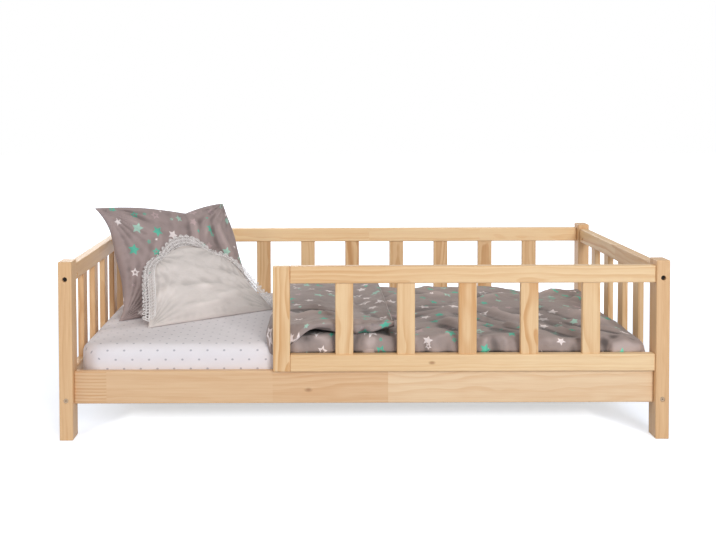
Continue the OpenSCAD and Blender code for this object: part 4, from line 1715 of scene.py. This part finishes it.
@dataclass
class LacePillow(Pillow):
    """Plain pillow with a lace frill, leaning on the star pillow."""

    body: Body = Body.LACE
    size: tuple[float, float, float] = (455.0, 288.0, 96.0)
    turn: float = 35.5
    lean: float = 46.0
    cells: tuple[int, int] = (88, 72)
    seed: int = 8
    crease: float = 5.5
    long_folds: int = 16
    heading: float = 0.0
    main_folds: tuple[Fold, ...] = (
        Fold(300, 62, 4, 330, 10, 1.6, 0.05),
        Fold(230, 96, -8, 260, 9, 1.3, -0.08),
        Fold(330, 130, -18, 220, 11, 1.2, 0.1),
        Fold(200, 40, 2, 240, 8, 1.2, 0.0),
    )
    star: StarPillow = field(default_factory=StarPillow)
    top: float = 0.6
    bend: float = 0.6
    draw: float = 0.05
    out: float = 86.0
    along: float = 14.0
    gap: float = 1.5
    frill: float = 26.0
    scallops: int = 46
    frill_cells: tuple[int, int] = (920, 14)
    header: float = 0.2
    peak: float = 16.0
    peak_at: float = 1.42
    peak_width: float = 0.42
    scallop: float = 0.22
    frill_lift: float = 1.6
    inset: float = 0.075
    frill_span: tuple[float, float] = (0.06, 2.94)
    gather: float = 1.4
    sewn: float = 12.0
    thread: float = 0.0005
    frill_length: float = 0.0

    @property
    def foot(self) -> Array:
        """Sets the left end of its foot in front of the star pillow.

        Returns:
            The point in space.
        """
        t = math.radians(self.star.turn)
        ahead = np.array([math.sin(t), -math.cos(t), 0])
        away = self.star.size[2] / 2 + self.out
        return self.star.foot + self.along * self.star.axes[0] + away * ahead

    def outline(self, u: Array, v: Array) -> Array:
        """Narrows the case towards a rounded upper edge.

        Args:
            u: Place on the case from -1 to 1, along its foot.
            v: The same up the case.

        Returns:
            The flat places.
        """
        rise = (1 + v) / 2
        bend = self.bend * rise * rise
        wide = (1 + (self.top - 1) * rise) * (1 - self.draw * (1 - v * v))
        x = self.size[0] / 2 * (1 + u * wide * np.sqrt(1 - bend * v * v))
        y = self.size[1] / 2 * (1 + v * np.sqrt(1 - bend * u * u))
        return np.column_stack([x, y])

    def lean_on(self, places: Array, extra: float = 0.0) -> Array:
        """Moves places off the star pillow that they would reach into.

        Args:
            places: Points in space.
            extra: Clearance beyond the usual.

        Returns:
            The points, moved where needed.
        """
        star = self.star
        d = (places - star.foot) @ star.axes.T
        u, v = 2 * d[:, 0] / star.size[0] - 1, 2 * d[:, 1] / star.size[1] - 1
        low = star.crowned(u, v) + self.gap + star.crease + extra
        push = low + self.bed.pressed(d[:, 2] - low) - d[:, 2]
        return places + push[:, None] * star.axes[2]

    def seat(self, places: Array) -> Array:
        """Lays the case on the star pillow and on the bed."""
        return self.bed.carry(self.lean_on(places))

    def rim(self, s: Array, inset: Array) -> tuple[Array, Array, Array]:
        """Follows the seam, or a line inside it, from 0 at its left foot to 3.

        Args:
            s: Place along the seam.
            inset: Share by which the line lies inside the seam.

        Returns:
            The flat places, the outward directions and the height of the case there.
        """

        def at(t: Array) -> tuple[Array, Array]:
            """Finds a point of the line.

            Args:
                t: Place along the seam.

            Returns:
                Its u and v.
            """
            u = np.where(t < 1, -1, np.where(t < 2, 2 * t - 3, 1))
            v = np.where(t < 1, 2 * t - 1, np.where(t < 2, 1, 5 - 2 * t))
            return u * (1 - inset), v * (1 - inset)

        after, before = at(np.minimum(3, s + 0.05)), at(np.maximum(0, s - 0.05))
        run = self.outline(*after) - self.outline(*before)
        run /= np.linalg.norm(run, axis=1)[:, None]
        u, v = at(s)
        return self.outline(u, v), np.column_stack([-run[:, 1], run[:, 0]]), self.crowned(u, v)

    def lace(self) -> bpy.types.Object:
        """Builds the gathered frill with its scalloped edge, and notes its length.

        Returns:
            The frill, with the thickness of its thread.
        """
        span = np.linspace(*self.frill_span, 400)
        steps = np.linalg.norm(np.diff(self.rim(span, np.zeros(1))[0], axis=0), axis=1)
        length = np.concatenate([[0], np.cumsum(steps)])

        def gathered(u: Array, v: Array) -> Array:
            """Lays the frill from its header on the case, past the seam, to the scallops.

            Args:
                u: Place on the grid, along the seam.
                v: The same outwards.

            Returns:
                The points in space.
            """
            run = (u + 1) / 2 * length[-1]
            s = np.interp(run, length, span)
            out = (v + 1) / 2
            past = np.clip((out - self.header) / (1 - self.header), 0, 1)
            inset = self.inset * np.clip(1 - out / self.header, 0, 1)
            flat, away, high = self.rim(s, inset)
            swing = np.abs(np.sin(run * math.pi * self.scallops / length[-1]))
            peak = np.exp(-(((s - self.peak_at) / self.peak_width) ** 2))
            wide = (self.frill + self.peak * peak) * (1 - self.scallop + self.scallop * swing)
            flat = flat + away * (past * wide)[:, None]
            wave = np.sin(run * 2 * math.pi / 15) + 0.6 * np.sin(run * 2 * math.pi / 37 + 1)
            ruffle = (0.7 + 1.8 * past) * (1.2 + wave) * ease(out * 3)
            lift = high + self.crease + self.frill_lift + ruffle
            places = self.foot + np.column_stack([flat, lift]) @ self.axes
            return self.bed.carry(self.lean_on(places, 1.5), 1.2)

        item = Panel("lace_frill", self.frill_cells, (0.0, 0.0)).lay(gathered)
        thicken(item, self.thread, 0.0)
        self.frill_length = float(length[-1])
        return item

    def build(self) -> None:
        """Builds the case and its frill."""
        item = self.case("plain_case")
        # Painted shade and highlight in the folds.
        cotton = Cloth("plain_cotton", ground=tint(224, 215, 210), painted_fold_shade=0.3)
        self.dress(item, cotton, "plain_cotton", ["lace_pillow"])
        frill = self.lace()
        self.dress(frill, Lace("lace"), "lace", ["lace_trim"])


DUVET_AREA = (-620.0, -400.0, 800.0, 380.0)
DUVET_FRONT = (-620.0, -460.0, 800.0, -340.0)
DUVET_FOLDS = (
    Fold(470, -170, -62, 520, 24, 1.3, 0.12),
    Fold(405, -130, -58, 430, 20, -1.0, 0.10),
    Fold(690, -150, -66, 420, 22, 1.1, -0.10),
    Fold(640, -170, -60, 360, 18, -0.9, 0.0),
    Fold(250, -250, 10, 260, 26, 0.9, 0.2),
    Fold(-346, -243, 5, 260, 17, -1.7, 0.08),
    Fold(-346, -292, 3, 260, 24, 1.2, 0.08),
    Fold(-500, -235, 70, 340, 17, -1.6, 0.1),
    Fold(-470, -180, 62, 300, 18, 1.1, 0.1),
    Fold(244, -290, -65, 220, 16, -1.6, 0.1),
    Fold(390, -320, -60, 190, 15, -1.6, 0.1),
    Fold(425, -300, -55, 190, 13, -1.3, 0.0),
    Fold(545, -310, -65, 200, 15, -1.6, 0.0),
    Fold(640, -250, -58, 230, 14, -1.4, 0.1),
    Fold(700, -330, -40, 160, 12, -1.4, 0.0),
    Fold(330, -180, -48, 260, 16, -1.4, 0.12),
    Fold(130, -150, 20, 240, 16, -1.3, 0.1),
    Fold(575, -345, -50, 140, 13, -1.5, 0.0),
)


@dataclass(frozen=True)
class Walk:
    """Places along the duvet, from the foot end round the fold to the flap's edge.

    The part is 0 on the bed, 1 round the fold and 2 on the flap. Bent goes from 0 to 1 round
    the fold and over from 0 to 1 along the flap. Edge and end are the distances from its long
    edges and from its ends."""

    part: Array
    row: Array
    x: Array
    fold_x: Array
    bent: Array
    over: Array
    flap: Array
    edge: Array
    end: Array

    @property
    def on_flap(self) -> Array:
        """Tells which places are on the flap."""
        return self.part == 2

    @property
    def flap_edge(self) -> Array:
        """Gives where the flap's free edge covers the lower part."""
        return self.fold_x + self.flap * 0.97


@dataclass
class Duvet(Part):
    """Star-print duvet that lies from the foot end and is folded back over itself."""

    body: Body = Body.DUVET
    bed: BedTop = field(default_factory=BedTop)
    bare: float = 523.0
    inset: float = 1.0
    flap: float = 338.0
    front_turn: float = 80.0
    thick: float = 28.0
    fold: float = 8.0
    mouth: float = 12.0
    skew: float = 42.0
    flap_skew: float = 45.0
    back_in: float = 80.0
    back_run: float = 400.0
    soft: float = 24.0
    fold_gap: float = 3.0
    clearance: float = 0.5
    crease: float = 17.0
    deepest: float = 12.0
    highest: float = 44.0
    level: float = 0.45
    rim: float = 34.0
    bulge: float = 8.0
    open_lift: float = 20.0
    gape: float = 9.0
    foot_taper: float = 8.0
    on_bed: float = 0.64
    round_fold: float = 0.10
    row_ease: float = 1.45
    foot_ease: float = 1.4
    front_band: tuple[float, float] = (46.0, 40.0)
    taper_band: tuple[float, float] = (300.0, 460.0)
    gap_band: tuple[float, float] = (16.0, 12.0)
    # Strength of the painted shade in the gap under the flap.
    painted_gap_shade: float = 1.6
    gape_reach: float = 60.0
    cover_reach: float = 30.0
    bulge_from: float = 0.7
    bulge_reach: float = 25.0
    shares: tuple[float, float, float] = (0.25, 0.75, 0.4)
    front_stretch: float = 2.2
    front_shift: float = 480.0
    waves: tuple[tuple[float, float, float, float], ...] = (
        (0.6, 410.0, 900.0, 90.0),
        (0.4, 250.0, -620.0, 74.0),
    )
    soft_waves: Ripples = Ripples(6, 160.0, 420.0, 21, 0.2)
    long_folds: Scatter = Scatter(
        78, DUVET_AREA, (130.0, 380.0), (11.0, 24.0), 20.0, 60.0, 31, DUVET_FOLDS
    )
    short_folds: Scatter = Scatter(190, DUVET_AREA, (50.0, 150.0), (6.0, 12.0), 60.0, 90.0, 32)
    front_folds: Scatter = Scatter(110, DUVET_FRONT, (40.0, 130.0), (8.0, 18.0), 70.0, 60.0, 33)
    cells: tuple[int, int] = (288, 164)
    print_step: float = 2600.0
    seam: float = 0.0006
    cord_radius: float = 0.0017
    cord_points: int = 160
    cord_off: tuple[float, float, float] = (1.2, 0.0, 0.8)

    @property
    def right(self) -> float:
        """Gives its end at the foot of the bed."""
        return self.bed.half[0] - self.inset

    @property
    def front(self) -> float:
        """Gives its front edge."""
        turn = math.sin(math.radians(self.front_turn))
        return -self.back - (self.bed.edge + self.bed.sheet) * turn

    @property
    def back(self) -> float:
        """Gives its back edge."""
        return self.bed.half[1] - self.bed.edge

    @property
    def middle(self) -> float:
        """Gives its middle across the bed."""
        return (self.front + self.back) / 2

    @property
    def reach(self) -> float:
        """Gives half its width across the bed."""
        return (self.back - self.front) / 2

    def left(self, row: Array) -> Array:
        """Gives where its fold lies, further along at the back."""
        share = (row - self.front) / (self.back - self.front)
        return self.bare - self.bed.half[0] - self.inset + self.skew * share

    def puff(self, depth: Array) -> Array:
        """Gives how full it is at a distance from its edge."""
        k = np.clip(depth / self.soft, 0, 1)
        return np.sqrt(1 - (1 - k) ** 2)

    def fill(self, x: Array, row: Array, end: Array) -> Array:
        """Gives its thickness with its wide waves.

        Args:
            x: Place along the bed.
            row: Place across the bed.
            end: Distance from its end or its flap's edge.

        Returns:
            The thickness.
        """
        wave = np.zeros_like(x)
        for share, along, across, lag in self.waves:
            turn = 2 * math.pi * (x / along + row / across) - math.radians(lag)
            wave += share * np.sin(turn)
        edge = np.minimum(row - self.front, self.back - row)
        return (self.thick + self.fold * wave) * self.puff(edge) * self.puff(end)

    def limited(self, relief: Array) -> Array:
        """Keeps hollows from reaching through the filling and levels the highest folds."""
        hollow = self.deepest * (np.exp(np.minimum(relief, 0) / self.deepest) - 1)
        return hollow + self.highest * (1 - np.exp(-np.maximum(relief, 0) / self.highest))

    def across(self, x: Array, row: Array) -> Array:
        """Gives the place across the bed, drawn in at the back near the foot end."""
        draw = ease(2 * (x - self.right + self.back_run) / self.back_run)
        return np.where(row < 0, row, row * (1 - self.back_in / self.back * draw))

    def walk(self, u: Array, v: Array) -> Walk:
        """Walks along the duvet.

        Args:
            u: Place on the grid, from the foot end to the flap's edge.
            v: The same from its front to its back.

        Returns:
            The places: which part, how far round the fold and over the flap, and how far
            from the edges.
        """
        t = (u + 1) / 2
        flap_from = self.on_bed + self.round_fold
        part = np.digitize(t, [self.on_bed, flap_from + 1e-9])
        row = self.middle + self.reach * np.sin(v * self.row_ease) / math.sin(self.row_ease)
        fold_x = self.left(row) + self.thick
        along = np.clip(t / self.on_bed, 0, 1) ** self.foot_ease
        bent = np.clip((t - self.on_bed) / self.round_fold, 0, 1)
        over = np.sin(np.clip((t - flap_from) / (1 - flap_from), 0, 1) * math.pi / 2)
        flap = self.flap - self.flap_skew * (row - self.front) / (2 * self.reach)
        lower = self.right + (fold_x - self.right) * along
        x = np.choose(part, [lower, fold_x, fold_x + flap * over])
        edge = np.minimum(row - self.front, self.back - row)
        end = np.where(part == 2, flap * (1 - over), self.right - x)
        return Walk(part, row, x, fold_x, bent, over, flap, edge, end)

    def creased(self, w: Walk) -> tuple[Array, Array]:
        """Gives the creases, which run on round the fold.

        Args:
            w: Places along the duvet.

        Returns:
            The creases' height, and that of the short ones at its front.
        """
        run = np.where(w.on_flap, 2 * w.fold_x - w.x, w.x)
        kinds = (self.soft_waves, self.long_folds, self.short_folds)
        crease = sum(share * kind.at(run, w.row) for share, kind in zip(self.shares, kinds))
        return crease, self.front_folds.at(run, w.row * self.front_stretch + self.front_shift)

    def gap_shade(self, w: Walk) -> Array:
        """Gives the painted shade in the gap between the flap and the part below it.

        Args:
            w: Places along the duvet's inner side.

        Returns:
            The amount added to the fold depth, which the finish paints as shade.
        """
        start, over = self.gap_band
        below = ease((w.edge - start) / over) * (w.x < w.flap_edge)
        return self.painted_gap_shade * np.where(w.on_flap, ease(w.edge / over), below)

    def flap_base(self, w: Walk, under: Array) -> Array:
        """Gives the height of the flap's lower side.

        Args:
            w: Places along the duvet.
            under: Height of the duvet's underside there.

        Returns:
            The height.
        """
        far = np.full_like(w.x, self.soft)
        layer = self.fill(w.x, w.row, far)
        level = self.fill(w.x, np.full_like(w.x, self.middle), far)
        base = under + layer + (level - layer) * np.minimum(1, 3 * w.over)
        base += self.fold_gap + (self.mouth - self.fold_gap) * w.over
        lifted = np.maximum(0, self.bed.top + self.open_lift - under - layer)
        lifted += self.gape * ease(1 - w.edge / self.gape_reach)
        return base + lifted * ease(2 * w.over)

    def side(self, outer: bool) -> Shaper:
        """Gives the function that lays one side of the duvet.

        Args:
            outer: Whether it is the side that lies on the sheet and comes out on top.

        Returns:
            The function.
        """

        def shape(u: Array, v: Array) -> Array:
            """Lays the side round the fold.

            Args:
                u: Place on the grid, from the foot end to the flap's edge.
                v: The same from its front to its back.

            Returns:
                The points in space, with the depth of the folds and, on the inner side, the painted
                shade of the gap.
            """
            w = self.walk(u, v)
            y = self.across(w.x, w.row)
            start, reach = self.taper_band
            slack = 1 + self.foot_taper * ease((start - w.row) / reach) * ~w.on_flap
            full = self.fill(w.x, w.row, w.end / slack)
            turned = self.fill(w.fold_x, w.row, np.full_like(w.x, self.soft))
            crease, press = self.creased(w)
            rim = ease(w.edge / self.rim) * ease(w.end / self.rim)
            near = ease((self.front + self.front_band[0] - w.row) / self.front_band[1])
            # Fold depth for the painted shade and highlight; the inner side adds painted gap shade.
            hollow = np.minimum(-crease * rim - press * near, 1.0)
            if not outer:
                hollow += self.gap_shade(w)
            relief = self.limited((crease - self.level) * rim * self.crease)
            under = self.bed.height(w.x, y) + self.clearance
            bulge = self.bulge * np.maximum(0, self.bulge_from + press)
            y = y - near * bulge * ease(w.end / self.bulge_reach)
            covered = ease((w.flap_edge - w.x) / self.cover_reach) * (w.part == 0)
            low = under if outer else under + (full + (1 - covered) * relief)
            high = self.flap_base(w, under)
            if outer:
                upper = turned + (full - turned) * np.minimum(1, 2 * w.over)
                high = high + (upper + relief * ease(w.over * 4))
            radius = self.fold_gap / 2 + (turned if outer else 0)
            centre = self.bed.height(w.fold_x, y) + self.clearance + turned + self.fold_gap / 2
            z = np.choose(w.part, [low, centre - radius * np.cos(math.pi * w.bent), high])
            x = np.where(w.part == 1, w.fold_x - radius * np.sin(math.pi * w.bent), w.x)
            return np.column_stack([x, y, z, hollow])

        return shape

    def piping(self) -> bpy.types.Object:
        """Builds the pale piping in the flap's free edge as a thin round cord.

        Returns:
            The cord.
        """
        v = np.linspace(-0.999, 0.999, self.cord_points)
        edges = [self.side(outer)(np.full_like(v, 1.0), v) for outer in (True, False)]
        path = (edges[0] + edges[1])[:, :3] / 2 + np.array(self.cord_off)
        deselect()
        bpy.ops.curve.primitive_nurbs_path_add()
        item = bpy.context.active_object
        item.name = "duvet_piping"
        item.data.splines.clear()
        line = item.data.splines.new("POLY")
        line.points.add(len(path) - 1)
        line.points.foreach_set("co", np.column_stack([path * MM, np.ones(len(path))]).ravel())
        item.data.bevel_depth = self.cord_radius
        item.data.bevel_resolution = 3
        item.data.use_fill_caps = True
        bpy.ops.object.convert(target="MESH")
        bpy.ops.object.shade_smooth()
        return bpy.context.active_object

    def build(self) -> None:
        """Builds the duvet and the piping in its flap's edge."""
        outer = Panel("duvet_outer", self.cells, (0.0, 0.5), even=True)
        inner = Panel("duvet_inner", self.cells, (0.0, 0.5), (self.print_step, 0.0), True)
        sides = [outer.lay(self.side(True)), inner.lay(self.side(False), True)]
        item = stitch("duvet_cover", sides, self.seam)
        # Painted shade and highlight in the folds and in the gap under the flap.
        cotton = StarCotton("star_cotton_duvet", ground=tint(163, 148, 143), painted_fold_shade=0.9)
        self.dress(item, cotton, "star_cotton", ["duvet"])
        cord = self.piping()
        self.dress(cord, Cloth("piping", ground=tint(216, 206, 202)), "plain_cotton", [])


# Studio, with lengths in metres


@dataclass(frozen=True)
class Lamp:
    """A square lamp that looks at the middle of the bed."""

    name: str
    place: tuple[float, float, float]
    size: float
    power: float

    def build(self) -> None:
        """Adds the lamp."""
        turn = (Vector((0, 0, 0.3)) - Vector(self.place)).to_track_quat("-Z", "Y").to_euler()
        bpy.ops.object.light_add(type="AREA", location=self.place, rotation=turn)
        item = bpy.context.active_object
        item.name = self.name
        item.data.size = self.size
        item.data.energy = self.power


@dataclass
class Studio:
    """Pale floor, soft lights, white surroundings and the camera."""

    lens: float = 50.973
    film: float = 36.0
    place: tuple[float, float, float] = (-0.1387, -3.2351, 0.9382)
    pitch: float = 2.0
    roll: float = 0.175
    shift: tuple[float, float] = (0.0623, -0.184)
    ambient: float = 0.38
    floor_size: float = 30.0
    floor_tone: tuple[float, ...] = tint(222, 232, 250)
    # Glow of the floor to the camera: even, and stronger away from the bed as painted light.
    floor_glow: float = 0.56
    near_glow: float = 0.3
    far_glow: float = 0.7
    near_glow_from: tuple[float, float] = (0.13, 0.27)
    far_glow_from: tuple[float, float] = (0.9, 3.0)
    post_glow_from: float = 0.69
    post_glow_slope: float = 2.0
    lamps: tuple[Lamp, ...] = (
        Lamp("key", (2.4, -7.7, 3.6), 2.6, 350.0),
        Lamp("side", (-5.0, -3.0, 3.4), 1.8, 55.0),
        Lamp("top", (0.6, 1.2, 4.6), 2.6, 12.0),
        Lamp("back", (-1.5, 7.5, 2.6), 3.0, 110.0),
    )

    def camera(self) -> None:
        """Adds the camera that sees the bed as the photo does."""
        turn = (math.radians(90 - self.pitch), math.radians(self.roll), 0)
        bpy.ops.object.camera_add(location=self.place, rotation=turn)
        item = bpy.context.active_object
        item.data.lens = self.lens
        item.data.sensor_width = self.film
        item.data.shift_x, item.data.shift_y = self.shift
        item.data.clip_end = 60.0
        bpy.context.scene.camera = item

    def seen(self, g: Graph) -> Value:
        """Tells whether a ray comes from the camera or from a mirror or glass.

        Args:
            g: Node tree.

        Returns:
            1 for such a ray, else 0.
        """
        path = g.node("ShaderNodeLightPath", {}, {}).socket.node
        kinds = ("Camera", "Glossy", "Transmission")
        rays = [Value(g, path.outputs[f"Is {kind} Ray"]) for kind in kinds]
        return g.math("MAXIMUM", rays[0], g.math("MAXIMUM", rays[1], rays[2]))

    def floor(self) -> None:
        """Adds the floor, whose glow shows white to the camera except in the object's shadow."""
        bpy.ops.mesh.primitive_plane_add(size=self.floor_size)
        item = bpy.context.active_object
        item.name = "floor"
        made = bpy.data.materials.new("floor")
        made.use_nodes = True
        g = Graph(made.node_tree)
        x, y, _ = g.split(g.position())
        # Painted light: the glow rises out from under the bed and past the posts, cutting the
        # object's real shadow short.
        ends = g.math("MAXIMUM", g.math("ABSOLUTE", x) - self.post_glow_from, 0.0)
        near = g.smooth(g.math("ABSOLUTE", y) - ends * self.post_glow_slope, *self.near_glow_from)
        away = g.vector("LENGTH", g.join(x * 0.5, y), output="Value")
        far = g.smooth(away, *self.far_glow_from) * (self.far_glow - self.floor_glow)
        lift = near * self.near_glow + far + self.floor_glow
        glow = {"Color": g.join(lift, lift, lift), "Strength": 1.0}
        light = g.node("ShaderNodeEmission", {}, glow)
        matte = g.node("ShaderNodeBsdfDiffuse", {}, {"Color": self.floor_tone})
        lifted = g.node("ShaderNodeAddShader", {}, {0: matte, 1: light})
        both = g.node("ShaderNodeMixShader", {}, {0: self.seen(g), 1: matte, 2: lifted})
        g.tree.links.new(both.socket, g.output.inputs["Surface"])
        item.data.materials.append(made)

    def world(self) -> None:
        """Makes the surroundings white to the camera and evenly pale to everything else."""
        world = bpy.data.worlds.new("surroundings")
        bpy.context.scene.world = world
        world.use_nodes = True
        g = Graph(world.node_tree, "ShaderNodeOutputWorld")
        strength = self.seen(g) * (1.0 - self.ambient) + self.ambient
        white = {"Color": (1.0, 1.0, 1.0, 1.0), "Strength": strength}
        back = g.node("ShaderNodeBackground", {}, white)
        g.tree.links.new(back.socket, g.output.inputs["Surface"])

    def build(self) -> None:
        """Builds the studio."""
        self.camera()
        self.floor()
        for lamp in self.lamps:
            lamp.build()
        self.world()
        bpy.context.scene.view_settings.view_transform = "Standard"


def main() -> None:
    """Builds everything in order and reports it."""
    logging.basicConfig(level=logging.INFO, format="%(name)s %(message)s")
    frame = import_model()
    deselect()
    Timber().build(frame["nodes"])
    Mattress().build()
    StarPillow().build()
    LacePillow().build()
    Duvet().build()
    Studio().build()


if __name__ == "__main__":
    main()
